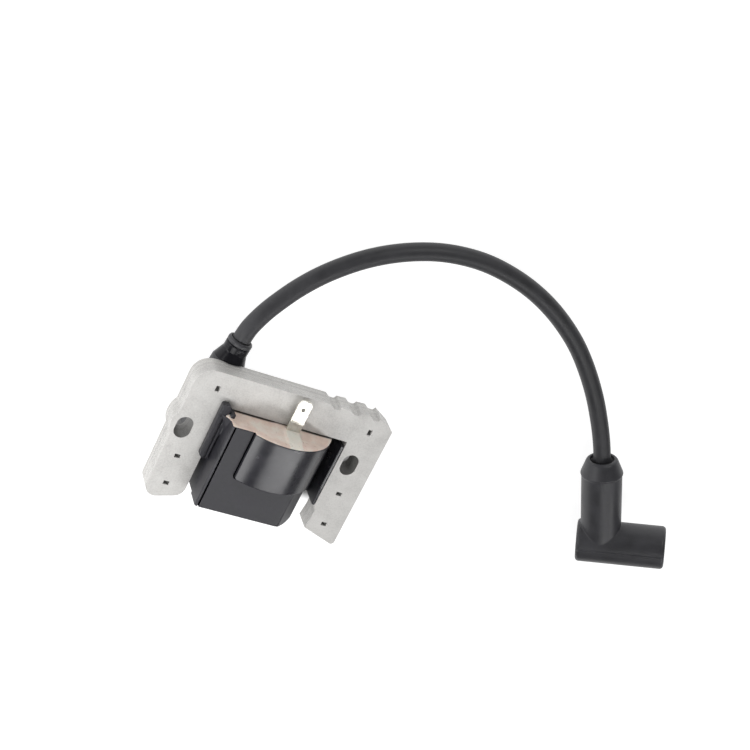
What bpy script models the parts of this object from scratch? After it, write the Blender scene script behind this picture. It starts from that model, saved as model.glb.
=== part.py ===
"""Small-engine ignition coil: a laminated E core round a potted coil and its circuit, a kill terminal,
and a high-tension lead that ends in a rubber elbow boot.

The coil lies on its back. +Z points up out of the core's front face, +X runs along the core's yoke and
+Y points from the pole ends to the yoke. The origin is under the middle of the coil without its lead.
Lengths are given in millimetres times MM, so every stored value is in metres.
"""

from math import acos, asin, cos, pi, radians, sin, sqrt

import bmesh
import bpy
from mathutils import Matrix, Vector

MM = 0.001
CLEAR = 0.3 * MM  # gap between neighbouring pieces

# The datum of the core: its centre line in X, and the centre of the left mounting slot in Y.
DATUM_X = 0.9 * MM
DATUM_Y = -1.51 * MM

# Core of stacked E plates
PLATES = 12
PLATE_GAP = 0.05 * MM
STACK = 10.85 * MM
CORE_MIDDLE_Z = 16.7 * MM
CORE_HALF_WIDTH = 45.8 * MM
LEG_WIDTH = 17.0 * MM
CENTRE_LEG_HALF = 5.5 * MM
YOKE_TOP = 29.1 * MM
YOKE_BOTTOM = 14.3 * MM
POLE_RADIUS = 125 * MM  # the flywheel's sweep
CENTRE_POLE_Y = -28.0 * MM
SLOT_WIDTH = 7.2 * MM
SLOT_LENGTH = 10.2 * MM
SLOT_CENTRES = ((-41.5 * MM, 0.0), (34.7 * MM, 3.9 * MM))
NOTCHES = 3
NOTCH_PITCH = 9.55 * MM
LAST_NOTCH_TIP = 38.5 * MM
NOTCH_LENGTH = 5.4 * MM
NOTCH_DEPTH = 1.6 * MM
STAKE_SIZE = (2.4 * MM, 1.5 * MM)
STAKE_CENTRES = (
    (-35.2 * MM, 21.3 * MM),
    (-38.4 * MM, -13.7 * MM),
    (-37.8 * MM, -27.4 * MM),
    (36.2 * MM, 21.4 * MM),
    (36.9 * MM, -11.0 * MM),
    (37.2 * MM, -27.3 * MM),
)

# Housing: an open cup, mouth towards the yoke
HOUSING_LEFT = -26.4 * MM
HOUSING_RIGHT = 18.8 * MM
HOUSING_FRONT = 33.4 * MM
HOUSING_BOTTOM = -28.2 * MM
POLE_RELIEF_TOP = 23.5 * MM  # below this height the bottom wall draws back from the centre pole
MOUTH_Y = 12.3 * MM
WALL = 1.8 * MM
FACET = 6.6 * MM  # cut off the cup's front right edge
CORNER_RADIUS = 4.5 * MM  # of the cup's lower right corner, seen from the front
BULGE_LEFT = -16.2 * MM
BULGE_CENTRE = (-2.4 * MM, 12.6 * MM)  # in X and Z
BULGE_RADIUS = 26.2 * MM
BULGE_FLOOR = 9.2 * MM
BULGE_BOTTOM = -10.3 * MM
FLANGE_BOTTOM = -19.5 * MM
RIB_LEFT = -31.1 * MM  # the rib hooks over the front of the left leg
RIB_RIGHT = -28.2 * MM
RIB_BOTTOM = -10.9 * MM
RIB_TOP = 17.0 * MM
RIB_HEIGHT = 2.8 * MM
GUSSET_BOTTOM = 5.5 * MM
RESIN_DEPTH = 3.0 * MM

# Outlet tower for the lead, given by the middle of its end and its lean away from +Y
TOWER_END = Vector((-28.0, 37.14, 6.1)) * MM
TOWER_LEAN = radians(5.7)
TOWER_RADIUS = 5.5 * MM
TOWER_ROOT_RADIUS = 7.6 * MM
SEAL_LENGTH = 2.2 * MM
BORE_DEPTH = 23.3 * MM

# Kill terminal, a standard 6.3 x 0.8 mm blade
BLADE_WIDTH = 6.3 * MM
BLADE_THICKNESS = 0.8 * MM
BLADE_X = 2.2 * MM
BLADE_BACK_Z = 24.6 * MM
BLADE_TIP_Y = 28.9 * MM
BLADE_HOLE_RADIUS = 0.9 * MM
BLADE_HOLE_Y = 24.5 * MM
FOOT_FRONT_Z = BLADE_BACK_Z + 7.9 * MM  # the blade's foot bends forward over the resin, then down into it

# Coil and circuit inside the cup
PRIMARY_LOW = -24.8 * MM
PRIMARY_HIGH = 9.0 * MM
BOBBIN_FLANGE = 1.2 * MM
SECTIONS = 5
SECONDARY_LOW = -8.2 * MM
SECONDARY_HIGH = 8.7 * MM
BOARD_BACK_X = -24.0 * MM
BOARD_FRONT_X = -22.4 * MM

# High-tension lead
LEAD_DIAMETER = 8.0 * MM
LEAD_POINTS = 26
LEAD_ROUTE = (
    (-30.28, 14.44, 6.1),
    (-29.1, 26.34, 6.1),
    (-28.0, 37.14, 6.1),
    (-26.9, 43.34, 5.9),
    (-24.0, 50.34, 5.3),
    (-20.4, 56.64, 4.6),
    (-14.8, 65.24, 4.1),
    (-8.5, 73.34, 4.1),
    (-1.3, 80.64, 4.1),
    (6.9, 87.34, 4.1),
    (15.8, 92.94, 4.1),
    (25.6, 97.54, 4.1),
    (36.0, 100.94, 4.1),
    (47.0, 102.84, 4.1),
    (58.5, 103.24, 4.1),
    (70.4, 101.84, 4.1),
    (82.5, 98.94, 4.1),
    (94.5, 94.44, 4.1),
    (106.2, 88.34, 4.1),
    (117.4, 80.84, 4.3),
    (127.8, 71.74, 4.9),
    (137.4, 61.54, 6.0),
    (145.4, 51.24, 7.25),
    (151.3, 42.54, 8.35),
    (155.9, 34.54, 9.4),
    (162.3, 22.16, 10.7),
)

# Elbow boot. Its own frame starts at the lead's entry: +X along the lead, +Y on the plug socket's side.
BOOT_ENTRY = Vector((155.9, 34.54, 9.4)) * MM
BOOT_YAW = radians(-62.7)
BOOT_PITCH = radians(5.43)
BOOT_ROLL = radians(23.8)
BOOT_LEG_RADIUS = 9.5 * MM
BOOT_SOCKET_RADIUS = 10.1 * MM
BOOT_LEG_LENGTH = 44.4 * MM
BOOT_SOCKET_LENGTH = 29.8 * MM
BOOT_HEEL = 11.4 * MM
ELBOW_TURN = radians(87)  # from the lead's direction to the socket's
BOOT_BORE_RADIUS = 5.4 * MM
FERRULE_RADIUS = 2.4 * MM

ROUND = 32  # sides of a large round piece


for old in list(bpy.data.objects):
    bpy.data.objects.remove(old)


# ---------------------------------------------------------------- materials

def material(name, colour, roughness, metallic=0.0):
    found = bpy.data.materials.get(name)
    if found:
        return found
    made = bpy.data.materials.new(name)
    made.use_nodes = True
    shader = made.node_tree.nodes["Principled BSDF"]
    shader.inputs["Base Color"].default_value = (*colour, 1.0)
    shader.inputs["Roughness"].default_value = roughness
    shader.inputs["Metallic"].default_value = metallic
    return made


STEEL = material("core_steel", (0.62, 0.61, 0.59), 0.42, 0.85)
PLASTIC = material("housing_plastic", (0.035, 0.035, 0.042), 0.42)
EPOXY = material("potting_epoxy", (0.62, 0.46, 0.38), 0.35)
TIN = material("tinned_brass", (0.78, 0.76, 0.70), 0.3, 1.0)
BRASS = material("brass", (0.70, 0.50, 0.22), 0.3, 1.0)
COPPER = material("enamelled_copper", (0.55, 0.22, 0.09), 0.35, 0.7)
BOBBIN = material("bobbin_nylon", (0.60, 0.58, 0.52), 0.5)
BOARD = material("board_laminate", (0.05, 0.22, 0.10), 0.45)
PACKAGE = material("component_black", (0.02, 0.02, 0.02), 0.5)
CERAMIC = material("component_tan", (0.50, 0.36, 0.20), 0.5)
RUBBER = material("boot_rubber", (0.028, 0.028, 0.033), 0.6)
JACKET = material("lead_jacket", (0.03, 0.03, 0.034), 0.45)


# ---------------------------------------------------------------- helpers

def link(name, mesh, finish):
    """Puts a mesh in the scene as a named object, smooth where its faces meet at a small angle."""
    obj = bpy.data.objects.new(name, mesh)
    bpy.context.collection.objects.link(obj)
    mesh.materials.append(finish)
    mesh.shade_smooth()
    mesh.set_sharp_from_angle(angle=radians(35))
    return obj


def from_bmesh(name, bm, finish):
    bmesh.ops.recalc_face_normals(bm, faces=bm.faces)
    mesh = bpy.data.meshes.new(name)
    bm.to_mesh(mesh)
    bm.free()
    return link(name, mesh, finish)


def arc(centre, radius, start, end, steps):
    """Points on an arc, with both ends, for angles in radians."""
    return [
        (centre[0] + radius * cos(start + (end - start) * i / steps),
         centre[1] + radius * sin(start + (end - start) * i / steps))
        for i in range(steps + 1)
    ]


def rounded(corners, steps=4):
    """A closed outline from (x, y, radius) corners, each rounded by an arc; radius 0 keeps the point."""
    points = []
    for i, (x, y, radius) in enumerate(corners):
        here = Vector((x, y))
        if radius == 0:
            points.append((x, y))
            continue
        back = (Vector(corners[i - 1][:2]) - here).normalized()
        ahead = (Vector(corners[(i + 1) % len(corners)][:2]) - here).normalized()
        half = back.angle(ahead) / 2
        centre = here + (back + ahead).normalized() * (radius / sin(half))
        first = here + back * (radius * cos(half) / sin(half)) - centre
        last = here + ahead * (radius * cos(half) / sin(half)) - centre
        turn = first.angle_signed(last)
        for k in range(steps + 1):
            spun = first.copy()
            spun.rotate(Matrix.Rotation(-turn * k / steps, 2))
            points.append(tuple(centre + spun))
    return points


def prism(name, outlines, low, high, finish, plane="XY", datum=True):
    """Extrudes an outline, with holes after the first loop, square to a plane from low to high.

    In plane XY the outline is (x, y) and the extrusion runs along Z. In XZ it is (x, z), along Y, and
    in YZ it is (y, z), along X. With datum the x and y values count from the core's datum.
    """
    shift = Vector((DATUM_X, DATUM_Y, 0)) if datum else Vector()
    place = {
        "XY": lambda u, v, w: Vector((u, v, w)),
        "XZ": lambda u, v, w: Vector((u, w, v)),
        "YZ": lambda u, v, w: Vector((w, u, v)),
    }[plane]
    bm = bmesh.new()
    edges = []
    for loop in outlines:
        verts = [bm.verts.new(place(u, v, low) + shift) for u, v in loop]
        edges += [bm.edges.new((verts[i - 1], verts[i])) for i in range(len(verts))]
    normal = place(0, 0, 1)
    bmesh.ops.triangle_fill(bm, use_beauty=True, edges=edges, normal=normal)
    grown = bmesh.ops.extrude_face_region(bm, geom=bm.faces[:])
    risen = [item for item in grown["geom"] if isinstance(item, bmesh.types.BMVert)]
    bmesh.ops.translate(bm, verts=risen, vec=place(0, 0, high - low))
    return from_bmesh(name, bm, finish)


def box(name, low, high, finish, datum=True):
    """A block between two corners."""
    outline = [(low[0], low[1]), (high[0], low[1]), (high[0], high[1]), (low[0], high[1])]
    return prism(name, [outline], low[2], high[2], finish, datum=datum)


def turned(name, profile, finish, steps=ROUND):
    """Spins a closed (along, radius) profile round the X axis. A radius of 0 is a point on the axis."""
    bm = bmesh.new()
    rings = []
    for along, radius in profile:
        if radius == 0:
            rings.append([bm.verts.new((along, 0, 0))])
            continue
        turns = [2 * pi * k / steps for k in range(steps)]
        rings.append([bm.verts.new((along, radius * cos(a), radius * sin(a))) for a in turns])
    for i, ring in enumerate(rings):
        other = rings[i - 1]
        for k in range(steps):
            corners = [ring[k % len(ring)], ring[(k + 1) % len(ring)]]
            corners += [other[(k + 1) % len(other)], other[k % len(other)]]
            distinct = list(dict.fromkeys(corners))
            if len(distinct) > 2:
                bm.faces.new(distinct)
    return from_bmesh(name, bm, finish)


def hide(tool):
    tool.hide_render = True
    tool.display_type = "WIRE"


def combine(obj, operation, *tools):
    for tool in tools:
        modifier = obj.modifiers.new(f"{operation}_{tool.name}".lower(), "BOOLEAN")
        modifier.operation = operation
        modifier.solver = "EXACT"
        modifier.object = tool
        hide(tool)


def cut(obj, *tools):
    combine(obj, "DIFFERENCE", *tools)


def weld(obj, *tools):
    combine(obj, "UNION", *tools)


def smooth_route(route, count):
    """Evenly numbered points on a Catmull-Rom curve through a route given in millimetres."""
    points = [Vector(p) * MM for p in route]
    points = [2 * points[0] - points[1]] + points + [2 * points[-1] - points[-2]]
    spans = len(points) - 3
    result = []
    for i in range(count):
        s = i * spans / (count - 1)
        k = min(int(s), spans - 1)
        t = s - k
        a, b, c, d = points[k:k + 4]
        result.append(0.5 * (2 * b + (c - a) * t + (2 * a - 5 * b + 4 * c - d) * t ** 2
                             + (3 * b - a - 3 * c + d) * t ** 3))
    return result


# ---------------------------------------------------------------- core

def pole_y(x):
    """The pole faces lie on one arc, which clears the flywheel."""
    return CENTRE_POLE_Y - POLE_RADIUS + sqrt(POLE_RADIUS ** 2 - x ** 2)


def notch_corners():
    """The saw-tooth notches in the yoke's top edge, from right to left."""
    corners = []
    for i in range(NOTCHES):
        tip = LAST_NOTCH_TIP - i * NOTCH_PITCH
        floor = YOKE_TOP - NOTCH_DEPTH
        corners += [
            (tip, YOKE_TOP - 0.2 * MM, 0),
            (tip - 0.7 * MM, floor + 0.2 * MM, 0),
            (tip - 1.4 * MM, floor, 0),
            (tip - 3.2 * MM, floor + 0.1 * MM, 0),
            (tip - NOTCH_LENGTH, YOKE_TOP, 0),
        ]
    return corners


def plate_outline():
    """The E plate, anticlockwise from the left pole's outer corner."""
    w, leg, mid = CORE_HALF_WIDTH, CORE_HALF_WIDTH - LEG_WIDTH, CENTRE_LEG_HALF
    ear_reach = 1.8 * MM
    relief = 1.3 * MM
    corners = [
        (-w, pole_y(w), 5 * MM),
        (-leg, pole_y(leg), 5 * MM),
        (-leg, YOKE_BOTTOM, 0.6 * MM),
        (-mid, YOKE_BOTTOM, 0.6 * MM),
        (-mid, pole_y(mid), 0.5 * MM),
        (mid, pole_y(mid), 0.5 * MM),
        (mid, YOKE_BOTTOM, 0.6 * MM),
        (leg, YOKE_BOTTOM, 0.6 * MM),
        (leg, -19.5 * MM, 0.5 * MM),
        (leg + relief, -22.0 * MM, 1 * MM),
        (leg + relief, -25.5 * MM, 1 * MM),
        (leg + relief / 2, pole_y(leg), 0),
        (w, pole_y(w), 1.5 * MM),
        (w, 24.8 * MM, 1 * MM),
        *notch_corners(),
        (-w, YOKE_TOP, 8 * MM),
    ]
    ear_low, ear_high = -4.7 * MM, 7.4 * MM
    half = (ear_high - ear_low) / 2
    radius = (half ** 2 + ear_reach ** 2) / (2 * ear_reach)
    spread = asin(half / radius)
    middle = (-w - ear_reach + radius, (ear_low + ear_high) / 2)
    ear = arc(middle, radius, pi - spread, pi + spread, 6)
    return rounded(corners) + ear


def slot_outline(centre):
    reach = (SLOT_LENGTH - SLOT_WIDTH) / 2
    x, y = centre
    top = arc((x, y + reach), SLOT_WIDTH / 2, 0, pi, 8)
    bottom = arc((x, y - reach), SLOT_WIDTH / 2, pi, 2 * pi, 8)
    return top + bottom


def stake_outline(centre):
    """The mark of one punched interlock between the plates."""
    x, y = centre
    a, b = STAKE_SIZE[0] / 2, STAKE_SIZE[1] / 2
    if y > 0:
        a, b = b, a
    return [(x - a, y - b), (x + a, y - b), (x + a, y + b), (x - a, y + b)]


def make_core():
    thickness = (STACK - (PLATES - 1) * PLATE_GAP) / PLATES
    bottom = CORE_MIDDLE_Z - STACK / 2
    slots = [slot_outline(c) for c in SLOT_CENTRES]
    stakes = [stake_outline(c) for c in STAKE_CENTRES]
    for i in range(PLATES):
        low = bottom + i * (thickness + PLATE_GAP)
        is_front = i == PLATES - 1
        holes = slots + stakes if is_front else slots
        prism(f"core_plate_{i + 1:02d}", [plate_outline()] + holes, low, low + thickness, STEEL)


# ---------------------------------------------------------------- housing and potting

def case_outline(inset):
    """The box part of the cup in the XZ plane, drawn in by inset."""
    left, right = HOUSING_LEFT + inset, HOUSING_RIGHT - inset
    front, back = HOUSING_FRONT - inset, inset
    corner = 2.0 * MM - inset / 2
    return rounded([
        (left, back, corner),
        (right, back, corner),
        (right, front - FACET, corner),
        (right - FACET, front, corner),
        (left, front, corner / 2),
    ])


def bulge_outline(inset):
    """The round part over the coil in the XZ plane: an arc, cut off square on its left."""
    radius = BULGE_RADIUS - inset
    left, floor = BULGE_LEFT + inset, BULGE_FLOOR + inset
    start = asin((floor - BULGE_CENTRE[1]) / radius)
    end = acos((left - BULGE_CENTRE[0]) / radius)
    return arc(BULGE_CENTRE, radius, start, end, 22) + [(left, floor)]


def along_tower(distance):
    """A point on the tower's axis, measured back from its end."""
    return TOWER_END - Vector((sin(TOWER_LEAN), cos(TOWER_LEAN), 0)) * distance


def place_on_tower(obj, distance):
    """Turns an object modelled along +X so that it points into the tower from this distance."""
    obj.location = along_tower(distance)
    obj.rotation_euler = (0, 0, -pi / 2 - TOWER_LEAN)


def make_housing():
    over = 2 * MM
    core_back = CORE_MIDDLE_Z - STACK / 2 - CLEAR
    core_front = CORE_MIDDLE_Z + STACK / 2
    leg = CORE_HALF_WIDTH - LEG_WIDTH

    case = prism("coil_housing", [case_outline(0)], HOUSING_BOTTOM, MOUTH_Y + over, PLASTIC, "XZ")
    bulge = prism("guide_bulge", [bulge_outline(0)], BULGE_BOTTOM, MOUTH_Y + 1.5 * over, PLASTIC, "XZ")
    right_web = box("guide_right_web", (15 * MM, FLANGE_BOTTOM, core_back - 2 * MM),
                    (leg + 1.5 * MM, MOUTH_Y - CLEAR, core_back), PLASTIC)
    right_wall = box("guide_right_wall", (leg - 1.5 * MM, FLANGE_BOTTOM + 0.1 * MM, core_back - 1 * MM),
                     (leg - CLEAR, MOUTH_Y - 2 * CLEAR, core_front), PLASTIC)
    left_wall = box("guide_left_wall", (-leg + CLEAR, RIB_BOTTOM + 0.4 * MM, core_back - 2 * MM),
                    (HOUSING_LEFT + WALL / 2, MOUTH_Y - CLEAR, core_front + 0.4 * RIB_HEIGHT), PLASTIC)
    rib_low, rib_high = core_front + CLEAR, core_front + RIB_HEIGHT
    rib = prism("guide_rib", [rounded([
        (RIB_LEFT, RIB_BOTTOM + 2.0 * MM, 1.0 * MM),
        (RIB_RIGHT, RIB_BOTTOM, 0.6 * MM),
        (RIB_RIGHT, RIB_TOP, 1.0 * MM),
        (RIB_LEFT, RIB_TOP, 1.0 * MM),
    ])], rib_low, rib_high, PLASTIC)
    strip = prism("guide_strip", [[
        (-28.9 * MM, 11.9 * MM), (-28.7 * MM, RIB_BOTTOM + 1.0 * MM), (-27.5 * MM, RIB_BOTTOM + 0.5 * MM),
        (-27.3 * MM, 0.4 * MM), (-26.1 * MM, 7.6 * MM), (-26.1 * MM, 11.9 * MM),
    ]], rib_low + 0.1 * MM, rib_high - 0.1 * MM, PLASTIC)
    cap = prism("guide_cap", [rounded([
        (RIB_LEFT + 0.2 * MM, 11.9 * MM, 0.3 * MM),
        (-28.1 * MM, 11.6 * MM, 0.3 * MM),
        (-26.8 * MM, 14.2 * MM, 0.4 * MM),
        (-26.9 * MM, 15.9 * MM, 0.8 * MM),
        (-28.3 * MM, RIB_TOP + 0.2 * MM, 0.8 * MM),
        (RIB_LEFT + 0.2 * MM, RIB_TOP - 0.1 * MM, 1.0 * MM),
    ])], rib_low, rib_high + 0.5 * MM, PLASTIC)
    gusset = prism("guide_gusset", [[
        (-25.6 * MM, 21.0 * MM), (-25.6 * MM, 28.4 * MM), (-26.3 * MM, 28.4 * MM), (-28.6 * MM, 26.2 * MM),
        (-29.6 * MM, 25.6 * MM), (-29.6 * MM, 22.6 * MM), (-28.5 * MM, 22.6 * MM), (-28.5 * MM, 21.0 * MM),
    ]], GUSSET_BOTTOM, MOUTH_Y - CLEAR / 2, PLASTIC, "XZ")
    for vert in gusset.data.vertices:
        if vert.co.y < DATUM_Y + GUSSET_BOTTOM + CLEAR:
            vert.co.x = max(vert.co.x, DATUM_X + HOUSING_LEFT + CLEAR)  # the gusset tapers into the wall
    root = box("guide_tower_root", (-37.6 * MM, -6 * MM, 0.4 * MM), (-22 * MM, 26.6 * MM, core_back),
               PLASTIC)

    neck_end = SEAL_LENGTH + CLEAR
    neck = turned("guide_tower", [
        (0, 0), (0, TOWER_RADIUS), (3.4 * MM, TOWER_RADIUS),
        (9.0 * MM, TOWER_ROOT_RADIUS), (20 * MM, TOWER_ROOT_RADIUS), (20 * MM, 0),
    ], PLASTIC)
    place_on_tower(neck, neck_end)
    weld(case, bulge, right_web, right_wall, left_wall, rib, strip, cap, gusset, root, neck)

    inside = prism("cutter_inside", [case_outline(WALL)], HOUSING_BOTTOM + WALL, MOUTH_Y + 3 * over,
                   PLASTIC, "XZ")
    round_inside = prism("cutter_round_inside", [bulge_outline(WALL)], BULGE_BOTTOM + WALL,
                         MOUTH_Y + 3.5 * over, PLASTIC, "XZ")
    mouth = box("cutter_mouth", (-35 * MM, MOUTH_Y, core_front + RIB_HEIGHT + 2 * MM),
                (30 * MM, 30 * MM, 45 * MM), PLASTIC)
    mouth_behind = box("cutter_mouth_behind", (-22 * MM, MOUTH_Y, -5 * MM),
                       (30 * MM, 31 * MM, 45.5 * MM), PLASTIC)
    yoke_space = box("cutter_yoke_space", (-60 * MM, MOUTH_Y + 0.01 * MM, core_back + 0.01 * MM),
                     (-21 * MM, YOKE_TOP + CLEAR, core_front + CLEAR / 2), PLASTIC)
    floor = box("cutter_floor", (-60 * MM, -50 * MM, -20 * MM), (40 * MM, 60 * MM, 0), PLASTIC)
    gap = CENTRE_LEG_HALF + CLEAR
    leg_slot = box("cutter_leg_slot", (-gap, HOUSING_BOTTOM - over, core_back),
                   (gap, HOUSING_BOTTOM + 2 * WALL, core_front + CLEAR), PLASTIC)
    bore = turned("cutter_bore", [(-over, 0), (-over, LEAD_DIAMETER / 2 + CLEAR),
                                  (BORE_DEPTH, LEAD_DIAMETER / 2 + CLEAR), (BORE_DEPTH, 0)], PLASTIC, 24)
    place_on_tower(bore, 0)
    pole_relief = box("cutter_pole_relief", (-50 * MM, HOUSING_BOTTOM - 2.5 * over, -6 * MM),
                      (50 * MM, HOUSING_BOTTOM + 0.7 * MM, POLE_RELIEF_TOP), PLASTIC)
    turn_x, turn_y = HOUSING_RIGHT - CORNER_RADIUS, HOUSING_BOTTOM + CORNER_RADIUS
    corner = prism("cutter_corner", [
        arc((turn_x, turn_y), CORNER_RADIUS, 1.5 * pi, 2 * pi, 6)
        + [(HOUSING_RIGHT + over, turn_y), (HOUSING_RIGHT + over, HOUSING_BOTTOM - over),
           (turn_x, HOUSING_BOTTOM - over)],
    ], -7 * MM, 46 * MM, PLASTIC)
    passage = box("cutter_passage", (-34.5 * MM, 3.5 * MM, 3.2 * MM), (-20 * MM, 16 * MM, 8.8 * MM),
                  PLASTIC)
    cut(case, inside, round_inside, mouth, mouth_behind, yoke_space, floor, leg_slot, bore, passage,
        pole_relief, corner)


def make_seal():
    """The rubber ring that closes the tower round the lead."""
    inner = LEAD_DIAMETER / 2 + CLEAR
    seal = turned("lead_seal", [
        (0, inner), (0, TOWER_RADIUS - 0.7 * MM), (0.7 * MM, TOWER_RADIUS),
        (SEAL_LENGTH, TOWER_RADIUS), (SEAL_LENGTH, inner),
    ], RUBBER)
    place_on_tower(seal, 0)


def make_potting():
    """The cap of resin that shows at the cup's mouth."""
    low, high = MOUTH_Y - RESIN_DEPTH, MOUTH_Y - 0.1 * MM
    inset = WALL + CLEAR
    potting = prism("potting_epoxy", [case_outline(inset)], low, high, EPOXY, "XZ")
    round_part = prism("guide_round_potting", [bulge_outline(inset)], low - 1 * MM, high + 1 * MM,
                       EPOXY, "XZ")
    weld(potting, round_part)
    under = box("cutter_under_potting", (-40 * MM, low - 5 * MM, -5 * MM), (40 * MM, low, 50 * MM), EPOXY)
    above = box("cutter_above_potting", (-40 * MM, high, -5 * MM), (40 * MM, high + 5 * MM, 50 * MM),
                EPOXY)
    gap = CENTRE_LEG_HALF + CLEAR
    half = STACK / 2 + CLEAR
    leg = box("cutter_potting_leg", (-gap, low - 6 * MM, CORE_MIDDLE_Z - half),
              (gap, high + 6 * MM, CORE_MIDDLE_Z + half), EPOXY)
    half_blade = BLADE_WIDTH / 2 + CLEAR
    blade = box("cutter_potting_blade",
                (BLADE_X - half_blade, low - 7 * MM, FOOT_FRONT_Z - BLADE_THICKNESS - CLEAR),
                (BLADE_X + half_blade, high + 7 * MM, FOOT_FRONT_Z + CLEAR), EPOXY)
    tab = box("cutter_potting_tab", (-19.3 * MM, low - 8 * MM, 14.2 * MM),
              (-17.7 * MM, high + 8 * MM, 18.8 * MM), EPOXY)
    cut(potting, under, above, leg, blade, tab)


# ---------------------------------------------------------------- coil

def rounded_box(half_x, half_z, radius):
    """A rounded rectangle round the centre leg, in the XZ plane."""
    z = CORE_MIDDLE_Z
    return rounded([
        (-half_x, z - half_z, radius), (half_x, z - half_z, radius),
        (half_x, z + half_z, radius), (-half_x, z + half_z, radius),
    ], 3)


def make_primary():
    inner_x, inner_z = CENTRE_LEG_HALF + 0.4 * MM, STACK / 2 + 0.4 * MM
    wall, wire = 0.8 * MM, 1.4 * MM
    tube = [rounded_box(inner_x + wall, inner_z + wall, 1.0 * MM), rounded_box(inner_x, inner_z, 0.4 * MM)]
    bobbin = prism("primary_bobbin", tube, PRIMARY_LOW, PRIMARY_HIGH, BOBBIN, "XZ")
    reach = wall + CLEAR + wire
    for label, low in (("lower", PRIMARY_LOW), ("upper", PRIMARY_HIGH - BOBBIN_FLANGE)):
        ring = [rounded_box(inner_x + reach, inner_z + reach, 2.4 * MM),
                rounded_box(inner_x + wall / 2, inner_z + wall / 2, 0.7 * MM)]
        step = 0.02 * MM
        flange = prism(f"guide_flange_{label}", ring, low - step, low + BOBBIN_FLANGE + step, BOBBIN, "XZ")
        weld(bobbin, flange)
    outer = wall + CLEAR + wire - 0.2 * MM
    coil = [rounded_box(inner_x + outer, inner_z + outer, 2.3 * MM),
            rounded_box(inner_x + wall + CLEAR, inner_z + wall + CLEAR, 1.3 * MM)]
    prism("primary_winding", coil, PRIMARY_LOW + BOBBIN_FLANGE + CLEAR,
          PRIMARY_HIGH - BOBBIN_FLANGE - CLEAR, COPPER, "XZ")


def make_secondary():
    """A bobbin with a row of narrow chambers, each with its own section of fine wire."""
    inner, tube, rim = 11.2 * MM, 12.0 * MM, 14.5 * MM
    low, high, web = SECONDARY_LOW, SECONDARY_HIGH, 0.8 * MM
    pitch = (high - low - web) / SECTIONS
    profile = [(0, inner)]
    for i in range(SECTIONS + 1):
        start = i * pitch
        if i > 0:
            profile.append((start, tube))
        profile += [(start, rim), (start + web, rim)]
        if i < SECTIONS:
            profile.append((start + web, tube))
    profile.append((high - low, inner))
    bobbin = turned("secondary_bobbin", profile, BOBBIN, 28)
    upright = (0, 0, pi / 2)
    bobbin.location = (DATUM_X, DATUM_Y + low, CORE_MIDDLE_Z)
    bobbin.rotation_euler = upright
    width = pitch - web - 2 * CLEAR
    for i in range(SECTIONS):
        section = turned(f"secondary_winding_{i + 1}", [
            (0, tube + CLEAR), (0, rim - 0.4 * MM), (width, rim - 0.4 * MM), (width, tube + CLEAR),
        ], COPPER, 28)
        section.location = (DATUM_X, DATUM_Y + low + web + CLEAR + i * pitch, CORE_MIDDLE_Z)
        section.rotation_euler = upright


# ---------------------------------------------------------------- circuit

def rod(name, centre, length, radius, finish):
    """A round part lying along Z, with slightly rounded ends."""
    edge = radius * 0.25
    part = turned(name, [
        (0, 0), (0, radius - edge), (edge, radius),
        (length - edge, radius), (length, radius - edge), (length, 0),
    ], finish, 16)
    part.rotation_euler = (0, -pi / 2, 0)
    part.location = (centre[0] + DATUM_X, centre[1] + DATUM_Y, centre[2] - length / 2)


def make_circuit():
    box("circuit_board", (BOARD_BACK_X, -24.5 * MM, 3.5 * MM), (BOARD_FRONT_X, 8.6 * MM, 29.5 * MM),
        BOARD)
    face = BOARD_FRONT_X + CLEAR
    box("power_transistor", (face, -23.5 * MM, 12 * MM), (face + 4.5 * MM, -13.5 * MM, 27 * MM), PACKAGE)
    box("capacitor", (face, -4 * MM, 22.5 * MM), (face + 4.6 * MM, 6 * MM, 28.8 * MM), CERAMIC)
    rod("resistor_1", (face + 1.3 * MM, -10.5 * MM, 20 * MM), 6.5 * MM, 1.2 * MM, CERAMIC)
    rod("resistor_2", (face + 1.3 * MM, -7.0 * MM, 20 * MM), 6.5 * MM, 1.2 * MM, CERAMIC)
    rod("zener_diode", (face + 1.4 * MM, -12.0 * MM, 8.5 * MM), 5.2 * MM, 1.35 * MM, PACKAGE)


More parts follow.
